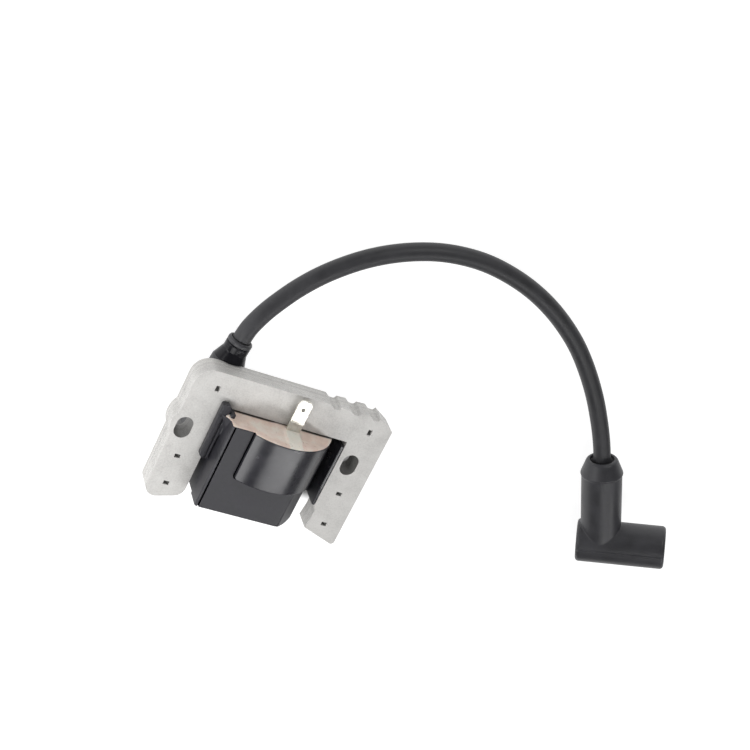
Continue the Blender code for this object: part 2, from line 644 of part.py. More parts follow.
def make_terminals():
    foot = MOUTH_Y + 0.1 * MM
    t = BLADE_THICKNESS
    side = rounded([
        (BLADE_TIP_Y, BLADE_BACK_Z, 0.2 * MM),
        (BLADE_TIP_Y, BLADE_BACK_Z + t, 0.2 * MM),
        (foot + t, BLADE_BACK_Z + t, 0.3 * MM),
        (foot + t, FOOT_FRONT_Z, 0.7 * MM),
        (MOUTH_Y - 5 * MM, FOOT_FRONT_Z, 0),
        (MOUTH_Y - 5 * MM, FOOT_FRONT_Z - t, 0),
        (foot, FOOT_FRONT_Z - t, 0.2 * MM),
        (foot, BLADE_BACK_Z, 0.7 * MM),
    ])
    left, right = BLADE_X - BLADE_WIDTH / 2, BLADE_X + BLADE_WIDTH / 2
    # prism() adds the datum in world axes, so the outline along Y and the run along X both count from it
    blade = prism("kill_terminal", [side], left, right, TIN, "YZ")
    corner = 2.2 * MM
    for label, x, sign in (("left", left, 1), ("right", right, -1)):
        tip = BLADE_TIP_Y
        trim = prism(f"cutter_blade_{label}", [[
            (x - sign * 1 * MM, tip - corner), (x, tip - corner),
            (x + sign * 0.3 * corner, tip - 0.4 * corner), (x + sign * corner, tip),
            (x + sign * corner, tip + 1 * MM), (x - sign * 1 * MM, tip + 1 * MM),
        ]], BLADE_BACK_Z - 1 * MM, BLADE_BACK_Z + 2 * MM, TIN)
        cut(blade, trim)
    hole = turned("cutter_blade_hole", [
        (-2 * MM, 0), (-2 * MM, BLADE_HOLE_RADIUS), (2 * MM, BLADE_HOLE_RADIUS), (2 * MM, 0),
    ], TIN, 16)
    hole.rotation_euler = (0, pi / 2, 0)
    hole.location = (DATUM_X + BLADE_X, DATUM_Y + BLADE_HOLE_Y, BLADE_BACK_Z)
    cut(blade, hole)

    box("ground_tab", (-18.9 * MM, 7.0 * MM, 14.5 * MM), (-18.1 * MM, YOKE_BOTTOM - CLEAR, 18.5 * MM), TIN)

    pin = turned("ht_terminal", [
        (0, 0), (1.5 * MM, 1.0 * MM), (3 * MM, 1.5 * MM), (8 * MM, 1.5 * MM), (8 * MM, 0),
    ], BRASS, 16)
    place_on_tower(pin, BORE_DEPTH)


# ---------------------------------------------------------------- lead and boot

def make_lead():
    curve = bpy.data.curves.new("ht_lead", "CURVE")
    curve.dimensions = "3D"
    curve.bevel_depth = LEAD_DIAMETER / 2
    curve.bevel_resolution = 4
    curve.use_fill_caps = True
    curve.render_resolution_u = 0
    points = smooth_route(LEAD_ROUTE, LEAD_POINTS)
    spline = curve.splines.new("POLY")
    spline.points.add(len(points) - 1)
    for point, place in zip(spline.points, points):
        point.co = (*place, 1)
    curve.materials.append(JACKET)
    bpy.context.collection.objects.link(bpy.data.objects.new("ht_lead", curve))


def make_boot():
    frame = bpy.data.objects.new("boot_frame", None)
    frame.location = BOOT_ENTRY
    frame.rotation_euler = (Matrix.Rotation(BOOT_YAW, 3, "Z") @ Matrix.Rotation(-BOOT_PITCH, 3, "Y")
                            @ Matrix.Rotation(BOOT_ROLL, 3, "X")).to_euler()
    bpy.context.collection.objects.link(frame)

    def leg_piece(name, profile, finish, steps=ROUND):
        piece = turned(name, profile, finish, steps)
        piece.parent = frame
        return piece

    def socket_piece(name, profile, finish, steps=ROUND):
        piece = turned(name, profile, finish, steps)
        piece.parent = frame
        piece.location = (BOOT_LEG_LENGTH, 0, 0)
        piece.rotation_euler = (0, 0, ELBOW_TURN)
        return piece

    r, s = BOOT_LEG_RADIUS, BOOT_SOCKET_RADIUS
    boot = leg_piece("plug_boot", [
        (0, 0), (0, r - 3.2 * MM), (1.2 * MM, r - 2.0 * MM), (7.5 * MM, r),
        (BOOT_LEG_LENGTH, r - 0.1 * MM), (BOOT_LEG_LENGTH, 0),
    ], RUBBER)
    edge = 1.6 * MM
    socket = socket_piece("guide_socket", [
        (-BOOT_HEEL, 0), (-BOOT_HEEL, s - edge),
        (edge / 3 - BOOT_HEEL, s - edge / 3), (edge - BOOT_HEEL, s),
        (BOOT_SOCKET_LENGTH - edge, s), (BOOT_SOCKET_LENGTH - edge / 3, s - edge / 3),
        (BOOT_SOCKET_LENGTH, s - edge), (BOOT_SOCKET_LENGTH, 0),
    ], RUBBER)
    weld(boot, socket)
    lead_hole = leg_piece("cutter_lead_hole", [
        (-2 * MM, 0), (-2 * MM, LEAD_DIAMETER / 2 + CLEAR),
        (BOOT_LEG_LENGTH, LEAD_DIAMETER / 2 + CLEAR), (BOOT_LEG_LENGTH, 0),
    ], RUBBER, 24)
    plug_hole = socket_piece("cutter_plug_hole", [
        (-7 * MM, 0), (-7 * MM, BOOT_BORE_RADIUS), (BOOT_SOCKET_LENGTH - 1.5 * MM, BOOT_BORE_RADIUS),
        (BOOT_SOCKET_LENGTH + 2 * MM, BOOT_BORE_RADIUS + 2.5 * MM), (BOOT_SOCKET_LENGTH + 2 * MM, 0),
    ], RUBBER, 24)
    cut(boot, lead_hole, plug_hole)

    clip = socket_piece("plug_clip", [
        (-5.5 * MM, 0), (-5.5 * MM, 4.4 * MM), (12 * MM, 4.4 * MM), (13 * MM, 4.8 * MM),
        (13 * MM, 4.1 * MM), (12 * MM, 3.6 * MM), (-1 * MM, 3.6 * MM), (-1 * MM, 0),
    ], BRASS, 24)
    ferrule_end = BOOT_LEG_LENGTH - 3.8 * MM
    ferrule = leg_piece("guide_ferrule", [
        (16 * MM, 0), (16 * MM, FERRULE_RADIUS), (ferrule_end, FERRULE_RADIUS), (ferrule_end, 0),
    ], BRASS, 16)
    weld(clip, ferrule)


def main():
    make_core()
    make_housing()
    make_seal()
    make_potting()
    make_primary()
    make_secondary()
    make_circuit()
    make_terminals()
    make_lead()
    make_boot()


main()
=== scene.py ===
"""The looks of a small-engine ignition coil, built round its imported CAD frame.

Shapes are modelled in millimetres in the core's own datum, where x = 0 is the core's centre line and
y = 0 the middle of the left mounting slot, and each finished mesh is then moved into the shared frame.
"""

from math import acos, asin, cos, exp, hypot, pi, radians, sin, sqrt

import bmesh
import bpy
from mathutils import Matrix, Vector, geometry


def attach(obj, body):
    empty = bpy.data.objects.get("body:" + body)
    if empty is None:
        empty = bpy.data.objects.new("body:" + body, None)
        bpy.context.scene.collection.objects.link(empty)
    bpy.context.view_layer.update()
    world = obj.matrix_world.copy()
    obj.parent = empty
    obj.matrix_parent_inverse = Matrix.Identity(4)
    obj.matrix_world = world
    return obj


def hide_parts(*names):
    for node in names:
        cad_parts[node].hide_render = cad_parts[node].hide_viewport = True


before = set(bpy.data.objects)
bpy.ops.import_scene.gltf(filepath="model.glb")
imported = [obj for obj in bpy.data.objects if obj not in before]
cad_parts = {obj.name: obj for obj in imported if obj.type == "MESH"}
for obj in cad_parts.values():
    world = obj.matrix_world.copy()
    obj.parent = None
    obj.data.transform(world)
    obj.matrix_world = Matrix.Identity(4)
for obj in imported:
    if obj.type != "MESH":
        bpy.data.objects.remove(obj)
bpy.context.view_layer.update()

MM = 0.001
DATUM = Vector((0.9, -1.51, 0.0))  # the core's datum in the shared frame

# Core
PLATES = 12
PLATE_GAP = 0.05
STACK = 10.85
CORE_MIDDLE_Z = 16.7
CORE_FRONT = CORE_MIDDLE_Z + STACK / 2
CORE_BACK = CORE_MIDDLE_Z - STACK / 2
PLATE_THICKNESS = (STACK - (PLATES - 1) * PLATE_GAP) / PLATES
PLATE_PITCH = PLATE_THICKNESS + PLATE_GAP
CORE_HALF_WIDTH = 45.8
LEG_WIDTH = 17.0
LEG_INSIDE = CORE_HALF_WIDTH - LEG_WIDTH
CENTRE_LEG_HALF = 5.5
YOKE_TOP = 29.1
YOKE_BOTTOM = 14.3
POLE_RADIUS = 125.0
CENTRE_POLE_Y = -28.0
SLOT_WIDTH = 7.2
SLOT_LENGTH = 10.2
SLOT_CENTRES = ((-41.5, 0.0), (34.7, 3.9))
POLE_ROUNDING = 5.0
EAR_REACH = 1.8  # how far the ear beside the left slot stands out, between these heights
EAR_LOW = -4.7
EAR_HIGH = 7.4
POLE_RELIEF = 1.3  # the hollow in the right leg's inner side, near its end
NOTCHES = 3
NOTCH_PITCH = 9.55
LAST_NOTCH_TIP = 38.5
NOTCH_LENGTH = 5.4
NOTCH_DEPTH = 1.6
STAKE_LENGTH = 2.8
STAKE_WIDTH = 1.8
STAKE_DEPTH = 1.6
STAKED_PLATES = 2
YOKE_STAKES = ((-35.2, 21.3), (36.2, 21.4))
LEG_STAKES = ((-38.4, -13.7), (-37.8, -27.4), (36.9, -11.0), (37.2, -27.3))

# Housing
HOUSING_LEFT = -26.4
HOUSING_RIGHT = 18.8
HOUSING_FRONT = 33.4
HOUSING_BOTTOM = -28.2
FACET = 6.6
CORNER_RADIUS = 4.5
POLE_RELIEF_TOP = 23.5  # below this height the bottom wall draws back from the centre pole
MOUTH_Y = 12.3
WALL = 1.8
BULGE_LEFT = -16.2
BULGE_CENTRE = (-2.4, 12.6)  # in X and Z
BULGE_RADIUS = 26.2
BULGE_FLOOR = 9.2
BULGE_BOTTOM = -10.3
CREEP = 1.35  # how far the resin climbs towards the yoke, behind this front
CREEP_FRONT = 27.5
RESIN_DEPTH = 3.0
RESIN_STEP = 0.45  # the spacing of the surface's points
GROOVE = 0.55  # width of the groove that outlines the bulge on the front face
GROOVE_DEPTH = 0.9
BULGE_GROOVE_RIGHT = 14.0
EDGE_GROOVE_LEFT = -25.3
EDGE_GROOVE_RIGHT = -24.6
RIB_GROOVE_LEFT = -28.8
RIB_GROOVE_RIGHT = -28.0
FLANGE_BOTTOM = -19.5
RIB_LEFT = -31.1
RIB_RIGHT = -28.2
RIB_BOTTOM = -10.9
RIB_TOP = 17.0
RIB_HEIGHT = 2.8
GUSSET_BOTTOM = 5.5
FIT = 0.3  # the housing's clearance round the core
ROOM_BACK = CORE_BACK - FIT  # where the core's room in the housing ends
OVERSHOOT = 2.0  # how far a cutter reaches past what it cuts
TOWER_MOUTH = Vector((-28.0, 37.14, 6.1))  # where the lead leaves the seal, in the shared frame
TOWER_END = TOWER_MOUTH - DATUM
TOWER_LEAN = radians(5.7)
TOWER_RADIUS = 5.5
TOWER_ROOT_RADIUS = 7.6
TOWER_ROOT_LEFT = -37.4
TOWER_ROOT_BOTTOM = -6.0
TOWER_ROOT_TOP = 21.0
BORE_DEPTH = 23.3
SEAL_LENGTH = 2.2

# Kill terminal
BLADE_WIDTH = 6.3
BLADE_THICKNESS = 0.8
BLADE_X = 2.2
BLADE_BACK_Z = 24.6
BLADE_TIP_Y = 28.9
BLADE_HOLE_RADIUS = 0.9
BLADE_HOLE_Y = 24.5
BLADE_SHOULDER = 2.4  # the radius of its tip's corners
FOOT_FRONT_Z = BLADE_BACK_Z + 7.9

# Lead, in the shared frame
LEAD_DIAMETER = 8.0
LEAD_ROUTE = (
    (-30.28, 14.44, 6.1),
    (-29.1, 26.34, 6.1),
    (-28.0, 37.14, 6.1),
    (-26.9, 43.34, 5.9),
    (-24.0, 50.34, 5.3),
    (-20.4, 56.64, 4.6),
    (-14.8, 65.24, 4.1),
    (-8.5, 73.34, 4.1),
    (-1.3, 80.64, 4.1),
    (6.9, 87.34, 4.1),
    (15.8, 92.94, 4.1),
    (25.6, 97.54, 4.1),
    (36.0, 100.94, 4.1),
    (47.0, 102.84, 4.1),
    (58.5, 103.24, 4.1),
    (70.4, 101.84, 4.1),
    (82.5, 98.94, 4.1),
    (94.5, 94.44, 4.1),
    (106.2, 88.34, 4.1),
    (117.4, 80.84, 4.3),
    (127.8, 71.74, 4.9),
    (137.4, 61.54, 6.0),
    (145.4, 51.24, 7.25),
    (151.3, 42.54, 8.35),
    (155.9, 34.54, 9.4),
    (162.3, 22.16, 10.7),
)
LEAD_POINTS = 176

# Boot: its own frame starts at the lead's entry, +X along the lead and +Y on the plug socket's side
BOOT_ENTRY = Vector((155.9, 34.54, 9.4))
BOOT_YAW = radians(-62.7)
BOOT_PITCH = radians(5.43)
BOOT_ROLL = radians(23.8)
BOOT_LEG_RADIUS = 9.5
BOOT_SOCKET_RADIUS = 10.1
BOOT_LEG_LENGTH = 44.4
BOOT_SOCKET_LENGTH = 29.8
BOOT_HEEL = 11.4
ELBOW_TURN = radians(87)  # from the lead's direction to the socket's
BOOT_BORE_RADIUS = 5.4
BOOT_COLLAR_END = 7.6
BOOT_RIM = 1.7  # the radius that rounds the socket's two ends
FERRULE_RADIUS = 2.4

# How far painted shade darkens a finish in places that hardly see the light
STAKE_FLOOR_PAINTED_SHADE = 0.12
SLOT_WALL_PAINTED_SHADE = 0.45
GROOVE_PAINTED_SHADE = 0.05
TOWER_PAINTED_SHADE = 0.5
UNDER_YOKE_PAINTED_SHADE = 0.10

# Camera
CAMERA_PLACE = Vector((-268.90, 309.89, 620.46)) * MM
CAMERA_RIGHT = Vector((0.871, 0.428, 0.241))
CAMERA_BACK = Vector((-0.412, 0.367, 0.834))
FOCAL_LENGTH = 82.13
SENSOR = 36.0
CLIP_START = 0.01

# Studio: the floor glows, except under the core, where a painted shadow is left so that the glow does not
# light the slots from below
WORLD_STRENGTH = 0.14
FLOOR_REACH = 20.0  # in metres
FLOOR_COLOUR = (0.35, 0.35, 0.35)
FLOOR_GLOW = 0.90
SHADE_GLOW = 0.03
SHADE_CENTRE = (4.5, -6.0)  # in the shared frame
SHADE_REACH = (40.0, 22.0)
SHADE_EDGE = 4.0
COIL_MIDDLE = (0.0, 0.0, 0.02)
LIGHTS = (  # name; place, target and size in metres; power in watts; direction of the long side
    ("near_left", (-0.150, -0.062, 0.182), (-0.04, 0.0, 0.02), (0.14, 0.14), 0.30, (1, 0, 0)),
    ("right_flash", (1.00, -0.22, 0.84), COIL_MIDDLE, (0.10, 0.10), 1.5, (1, 0, 0)),
    ("long_strip", (0.345, -0.33, 0.66), COIL_MIDDLE, (0.82, 0.075), 1.95, (0.88, 0, -0.48)),
    ("left_low", (-0.40, 0.06, 0.10), COIL_MIDDLE, (0.3, 0.12), 0.45, (1, 0, 0)),
    ("top_soft", (0.10, 0.62, 0.42), COIL_MIDDLE, (0.4, 0.2), 1.15, (1, 0, 0)),
)


# ---------------------------------------------------------------- stage

def make_camera():
    data = bpy.data.cameras.new("camera")
    data.lens = FOCAL_LENGTH
    data.sensor_width = SENSOR
    data.clip_start = CLIP_START
    camera = bpy.data.objects.new("camera", data)
    camera.location = CAMERA_PLACE
    up = CAMERA_BACK.cross(CAMERA_RIGHT).normalized()
    right = up.cross(CAMERA_BACK).normalized()
    camera.rotation_euler = Matrix((right, up, CAMERA_BACK.normalized())).transposed().to_euler()
    bpy.context.collection.objects.link(camera)
    bpy.context.scene.camera = camera


def area_light(name, place, target, size, power, long_axis):
    """A rectangular light aimed at a target, its first side laid as near as it goes along long_axis."""
    data = bpy.data.lights.new(name, "AREA")
    data.shape = "RECTANGLE"
    data.size, data.size_y = size
    data.energy = power
    light = bpy.data.objects.new(name, data)
    light.location = place
    back = (Vector(place) - Vector(target)).normalized()
    across = Vector(long_axis)
    across = (across - back * across.dot(back)).normalized()
    light.rotation_euler = Matrix((across, back.cross(across), back)).transposed().to_euler()
    bpy.context.collection.objects.link(light)


def make_stage():
    scene = bpy.context.scene
    scene.view_settings.view_transform = "Standard"
    scene.view_settings.look = "None"
    world = bpy.data.worlds.new("studio")
    world.use_nodes = True
    background = world.node_tree.nodes["Background"]
    background.inputs["Color"].default_value = (1, 1, 1, 1)
    background.inputs["Strength"].default_value = WORLD_STRENGTH
    scene.world = world

    bm = bmesh.new()
    bmesh.ops.create_grid(bm, x_segments=1, y_segments=1, size=FLOOR_REACH)
    mesh = bpy.data.meshes.new("floor")
    bm.to_mesh(mesh)
    bm.free()
    floor = bpy.data.objects.new("floor", mesh)
    bpy.context.collection.objects.link(floor)
    mesh.materials.append(floor_material())
    for light in LIGHTS:
        area_light(*light)


# ---------------------------------------------------------------- materials

def new_material(name, colour, roughness, metallic=0.0):
    """A plain Principled material; returns it with its node tree and shader."""
    made = bpy.data.materials.new(name)
    made.use_nodes = True
    tree = made.node_tree
    shader = tree.nodes["Principled BSDF"]
    shader.inputs["Base Color"].default_value = (*colour, 1)
    shader.inputs["Roughness"].default_value = roughness
    shader.inputs["Metallic"].default_value = metallic
    return made, tree, shader


def surface_place(tree, scale=(1, 1, 1)):
    """Object coordinates in millimetres, stretched by scale."""
    place = tree.nodes.new("ShaderNodeTexCoord")
    mapping = tree.nodes.new("ShaderNodeMapping")
    mapping.inputs["Scale"].default_value = [s / MM for s in scale]
    tree.links.new(place.outputs["Object"], mapping.inputs["Vector"])
    return mapping.outputs["Vector"]


def noise(tree, where, scale, detail=3.0, rough=0.55):
    node = tree.nodes.new("ShaderNodeTexNoise")
    node.inputs["Scale"].default_value = scale
    node.inputs["Detail"].default_value = detail
    node.inputs["Roughness"].default_value = rough
    tree.links.new(where, node.inputs["Vector"])
    return node.outputs["Fac"]


def ramp(tree, value, stops):
    node = tree.nodes.new("ShaderNodeValToRGB")
    elements = node.color_ramp.elements
    while len(elements) < len(stops):
        elements.new(0.5)
    for element, (position, colour) in zip(elements, stops):
        element.position = position
        element.color = (*colour, 1)
    tree.links.new(value, node.inputs["Fac"])
    return node.outputs["Color"]


def spread(tree, value, low, high, start=0.0, end=1.0):
    """Maps a value from start..end to low..high."""
    node = tree.nodes.new("ShaderNodeMapRange")
    node.inputs["From Min"].default_value = start
    node.inputs["From Max"].default_value = end
    node.inputs["To Min"].default_value = low
    node.inputs["To Max"].default_value = high
    tree.links.new(value, node.inputs["Value"])
    return node.outputs["Result"]


def math(tree, operation, first, second=0.0):
    node = tree.nodes.new("ShaderNodeMath")
    node.operation = operation
    for socket, value in zip(node.inputs, (first, second)):
        if isinstance(value, (int, float)):
            socket.default_value = value
        else:
            tree.links.new(value, socket)
    return node.outputs["Value"]


def product(tree, *values):
    result = values[0]
    for value in values[1:]:
        result = math(tree, "MULTIPLY", result, value)
    return result


def off_centre(tree, value, centre):
    """How far a value is from a centre, on either side."""
    return math(tree, "ABSOLUTE", math(tree, "SUBTRACT", value, centre))


def between(tree, value, low, high):
    """1 where a value lies between two limits, and 0 elsewhere."""
    result = math(tree, "COMPARE", value, (low + high) / 2)
    result.node.inputs[2].default_value = (high - low) / 2
    return result


def split_axes(tree, vector):
    node = tree.nodes.new("ShaderNodeSeparateXYZ")
    tree.links.new(vector, node.inputs["Vector"])
    return node.outputs


def scaled_colour(tree, colour, factor):
    node = tree.nodes.new("ShaderNodeVectorMath")
    node.operation = "SCALE"
    tree.links.new(colour, node.inputs[0])
    tree.links.new(factor, node.inputs["Scale"])
    return node.outputs["Vector"]


def bump(tree, shader, height, distance, strength):
    node = tree.nodes.new("ShaderNodeBump")
    node.inputs["Distance"].default_value = distance * MM
    node.inputs["Strength"].default_value = strength
    tree.links.new(height, node.inputs["Height"])
    tree.links.new(node.outputs["Normal"], shader.inputs["Normal"])


def floor_material():
    """A white glow that fades out under the core, leaving a painted shadow there."""
    made, tree, shader = new_material("studio_floor", FLOOR_COLOUR, 0.7)
    shader.inputs["Emission Color"].default_value = (1, 1, 1, 1)
    axes = split_axes(tree, surface_place(tree))
    # Painted shadow under the core: the glow falls away inside this rectangle
    beside = math(tree, "SUBTRACT", off_centre(tree, axes["X"], SHADE_CENTRE[0]), SHADE_REACH[0])
    beyond = math(tree, "SUBTRACT", off_centre(tree, axes["Y"], SHADE_CENTRE[1]), SHADE_REACH[1])
    outside = math(tree, "MAXIMUM", beside, beyond)
    glow = spread(tree, outside, SHADE_GLOW, FLOOR_GLOW, 0.0, SHADE_EDGE)
    tree.links.new(glow, shader.inputs["Emission Strength"])
    return made


def steel_material():
    """Coated lamination steel: pale, matt, with fine mottling, a tone of its own for each plate, and
    painted shade in its stakes, between its plates and on its slot walls.
    """
    made, tree, shader = new_material("core_steel", (0.62, 0.61, 0.59), 0.5, 0.25)
    where = surface_place(tree)
    cloud = noise(tree, where, 0.09, 4.0)
    speck = noise(tree, where, 1.7, 3.0, 0.7)
    tone = math(tree, "ADD", math(tree, "MULTIPLY", cloud, 0.5), math(tree, "MULTIPLY", speck, 0.5))
    colour = ramp(tree, tone, [
        (0.34, (0.49, 0.48, 0.465)), (0.50, (0.62, 0.61, 0.59)), (0.66, (0.70, 0.69, 0.67)),
    ])
    axes = split_axes(tree, where)
    height = math(tree, "SUBTRACT", axes["Z"], CORE_BACK)
    plate = math(tree, "FLOOR", math(tree, "DIVIDE", height, PLATE_PITCH))
    chance = tree.nodes.new("ShaderNodeTexWhiteNoise")
    chance.noise_dimensions = "1D"
    tree.links.new(plate, chance.inputs["W"])
    front_plate = math(tree, "GREATER_THAN", plate, PLATES - 1.5)
    shade = math(tree, "MAXIMUM", spread(tree, chance.outputs["Value"], 0.88, 1.03), front_plate)
    facing = split_axes(tree, tree.nodes.new("ShaderNodeNewGeometry").outputs["Normal"])
    deep = math(tree, "LESS_THAN", axes["Z"], CORE_FRONT - 0.3)
    # Painted shade: surfaces facing up below the front face, the stake floors and the bevels between
    # plates, are darkened
    sunk_painted_shade = product(tree, math(tree, "GREATER_THAN", facing["Z"], 0.3), deep)
    shade = product(tree, shade, spread(tree, sunk_painted_shade, 1.0, STAKE_FLOOR_PAINTED_SHADE))
    # Painted shade on the walls of both slots
    for x, y in SLOT_CENTRES:
        off_x = off_centre(tree, axes["X"], x + DATUM.x)
        off_y = off_centre(tree, axes["Y"], y + DATUM.y)
        wall = product(tree, math(tree, "LESS_THAN", off_x, SLOT_WIDTH / 2 + 0.1),
                       math(tree, "LESS_THAN", off_y, SLOT_LENGTH / 2 + 0.1), deep)
        shade = product(tree, shade, spread(tree, wall, 1.0, SLOT_WALL_PAINTED_SHADE))
    tree.links.new(scaled_colour(tree, colour, shade), shader.inputs["Base Color"])
    tree.links.new(spread(tree, speck, 0.42, 0.62), shader.inputs["Roughness"])
    bump(tree, shader, speck, 0.02, 0.5)
    return made


def plastic_material():
    """Moulded black plastic: a dull, faintly clouded case, glossier on its round part and its tower, with
    painted shade in its grooves and on its tower.
    """
    made, tree, shader = new_material("housing_plastic", (0.02, 0.02, 0.026), 0.36)
    where = surface_place(tree)
    cloud = noise(tree, where, 0.12, 4.0)
    grain = noise(tree, where, 4.0, 2.0)
    colour = ramp(tree, cloud, [(0.35, (0.018, 0.018, 0.023)), (0.65, (0.034, 0.033, 0.040))])
    axes = split_axes(tree, where)
    x = math(tree, "SUBTRACT", axes["X"], DATUM.x)
    y = math(tree, "SUBTRACT", axes["Y"], DATUM.y)
    # Painted shade in the grooves on the front face, whose reflection is also turned off below
    groove = product(tree, between(tree, axes["Z"], HOUSING_FRONT - 1.15, HOUSING_FRONT - 0.15),
                     between(tree, x, EDGE_GROOVE_LEFT - 0.3, BULGE_GROOVE_RIGHT - 2),
                     math(tree, "GREATER_THAN", y, HOUSING_BOTTOM + 0.4))
    off_x = math(tree, "POWER", math(tree, "SUBTRACT", x, BULGE_CENTRE[0]), 2)
    off_z = math(tree, "POWER", math(tree, "SUBTRACT", axes["Z"], BULGE_CENTRE[1]), 2)
    radius = math(tree, "SQRT", math(tree, "ADD", off_x, off_z))
    bulge = product(tree, math(tree, "GREATER_THAN", radius, BULGE_RADIUS - 0.5),
                    math(tree, "GREATER_THAN", x, BULGE_LEFT - 0.1),
                    math(tree, "GREATER_THAN", y, BULGE_BOTTOM - 0.1))
    # Above the yoke lies the tower: glossier, with painted shade and a turned-down reflection
    tower = math(tree, "GREATER_THAN", y, YOKE_TOP)
    round_part = math(tree, "MAXIMUM", bulge, tower)
    # Painted shade: the grooves and the tower are darkened, and their reflection turned down
    shade = product(tree, spread(tree, groove, 1.0, GROOVE_PAINTED_SHADE), spread(tree, tower, 1.0, TOWER_PAINTED_SHADE))
    mirror = product(tree, spread(tree, groove, 0.5, 0.0), spread(tree, tower, 1.0, 0.4))
    tree.links.new(mirror, shader.inputs["Specular IOR Level"])
    tree.links.new(scaled_colour(tree, colour, shade), shader.inputs["Base Color"])
    dull = spread(tree, cloud, 0.40, 0.50, 0.3, 0.7)
    gloss = spread(tree, cloud, 0.22, 0.28, 0.3, 0.7)
    flat_part = math(tree, "SUBTRACT", 1.0, round_part)
    blend = math(tree, "ADD", product(tree, round_part, gloss), product(tree, flat_part, dull))
    tree.links.new(blend, shader.inputs["Roughness"])
    bump(tree, shader, grain, 0.012, 0.6)
    return made


def resin_material():
    """Poured resin, beige with pink and cream clouds in front of the core, and with painted shade where it
    runs under and behind it.
    """
    made, tree, shader = new_material("potting_resin", (0.62, 0.46, 0.38), 0.30)
    shader.inputs["Subsurface Weight"].default_value = 0.15
    shader.inputs["Subsurface Radius"].default_value = (0.002, 0.0012, 0.0008)
    where = surface_place(tree)
    cloud = noise(tree, where, 0.16, 4.0)
    colour = ramp(tree, cloud, [
        (0.32, (0.80, 0.63, 0.54)), (0.50, (0.90, 0.74, 0.64)), (0.66, (0.95, 0.86, 0.77)),
    ])
    axes = split_axes(tree, where)
    half = BLADE_WIDTH / 2
    beside = off_centre(tree, axes["X"], BLADE_X + DATUM.x)
    across = spread(tree, beside, 1, 0, half - 0.2, half + 0.3)
    along = spread(tree, axes["Z"], 0, 1, BLADE_BACK_Z - 0.4, BLADE_BACK_Z + 0.6)
    mix = tree.nodes.new("ShaderNodeMix")
    mix.data_type = "RGBA"
    tree.links.new(product(tree, across, along, 0.75), mix.inputs["Factor"])
    tree.links.new(colour, mix.inputs["A"])
    mix.inputs["B"].default_value = (0.93, 0.92, 0.83, 1)  # the blade's foot shows through the thin film
    # Painted shade where the resin runs in under the yoke
    under_yoke_painted_shade = spread(tree, axes["Z"], UNDER_YOKE_PAINTED_SHADE, 1.0, CORE_FRONT + 0.35, CORE_FRONT + 0.95)
    tree.links.new(scaled_colour(tree, mix.outputs["Result"], under_yoke_painted_shade), shader.inputs["Base Color"])
    tree.links.new(spread(tree, noise(tree, where, 0.7), 0.2, 0.4), shader.inputs["Roughness"])
    bump(tree, shader, noise(tree, where, 0.5, 2.0), 0.05, 0.5)
    return made


def tin_material():
    """Bright tin plate, drawn along the blade, with fine scratches."""
    made, tree, shader = new_material("tin_plate", (0.80, 0.78, 0.72), 0.32, 0.9)
    drawn = noise(tree, surface_place(tree, (6, 0.25, 6)), 0.9, 3.0)
    cloud = noise(tree, surface_place(tree), 0.5, 3.0)
    colour = ramp(tree, cloud, [(0.35, (0.64, 0.62, 0.55)), (0.65, (0.80, 0.79, 0.74))])
    tree.links.new(colour, shader.inputs["Base Color"])
    tree.links.new(spread(tree, drawn, 0.24, 0.46), shader.inputs["Roughness"])
    bump(tree, shader, drawn, 0.01, 0.4)
    return made


def rubber_material(name, colour, roughness):
    """Moulded or extruded rubber with a bloom that dulls it in patches."""
    made, tree, shader = new_material(name, colour, roughness)
    where = surface_place(tree)
    cloud = noise(tree, where, 0.10, 4.0)
    pits = noise(tree, where, 3.0, 3.0, 0.7)
    pale = tuple(c * 1.5 for c in colour)
    tree.links.new(ramp(tree, cloud, [(0.35, colour), (0.68, pale)]), shader.inputs["Base Color"])
    tree.links.new(spread(tree, cloud, roughness - 0.06, roughness + 0.08, 0.3, 0.7),
                   shader.inputs["Roughness"])
    bump(tree, shader, pits, 0.02, 0.5)
    return made


def brass_material():
    made, tree, shader = new_material("spring_brass", (0.70, 0.50, 0.22), 0.3, 1.0)
    cloud = noise(tree, surface_place(tree), 0.4, 4.0)
    colour = ramp(tree, cloud, [(0.3, (0.52, 0.34, 0.13)), (0.7, (0.76, 0.56, 0.26))])
    tree.links.new(colour, shader.inputs["Base Color"])
    tree.links.new(spread(tree, cloud, 0.22, 0.42), shader.inputs["Roughness"])
    return made


def inner_material(name, dark, pale, roughness, metallic=0.0, scale=1.0, stretch=(1, 1, 1)):
    """A clouded finish for the sealed pieces."""
    made, tree, shader = new_material(name, pale, roughness, metallic)
    cloud = noise(tree, surface_place(tree, stretch), scale, 3.0)
    tree.links.new(ramp(tree, cloud, [(0.35, dark), (0.65, pale)]), shader.inputs["Base Color"])
    tree.links.new(spread(tree, cloud, roughness - 0.08, roughness + 0.08), shader.inputs["Roughness"])
    bump(tree, shader, cloud, 0.02, 0.5)
    return made


# ---------------------------------------------------------------- shape helpers

def link(name, bm):
    bmesh.ops.recalc_face_normals(bm, faces=bm.faces)
    mesh = bpy.data.meshes.new(name)
    bm.to_mesh(mesh)
    bm.free()
    obj = bpy.data.objects.new(name, mesh)
    bpy.context.collection.objects.link(obj)
    return obj


def arc(centre, radius, start, end, steps):
    """Points on an arc, with both ends."""
    angles = [start + (end - start) * i / steps for i in range(steps + 1)]
    return [(centre[0] + radius * cos(a), centre[1] + radius * sin(a)) for a in angles]


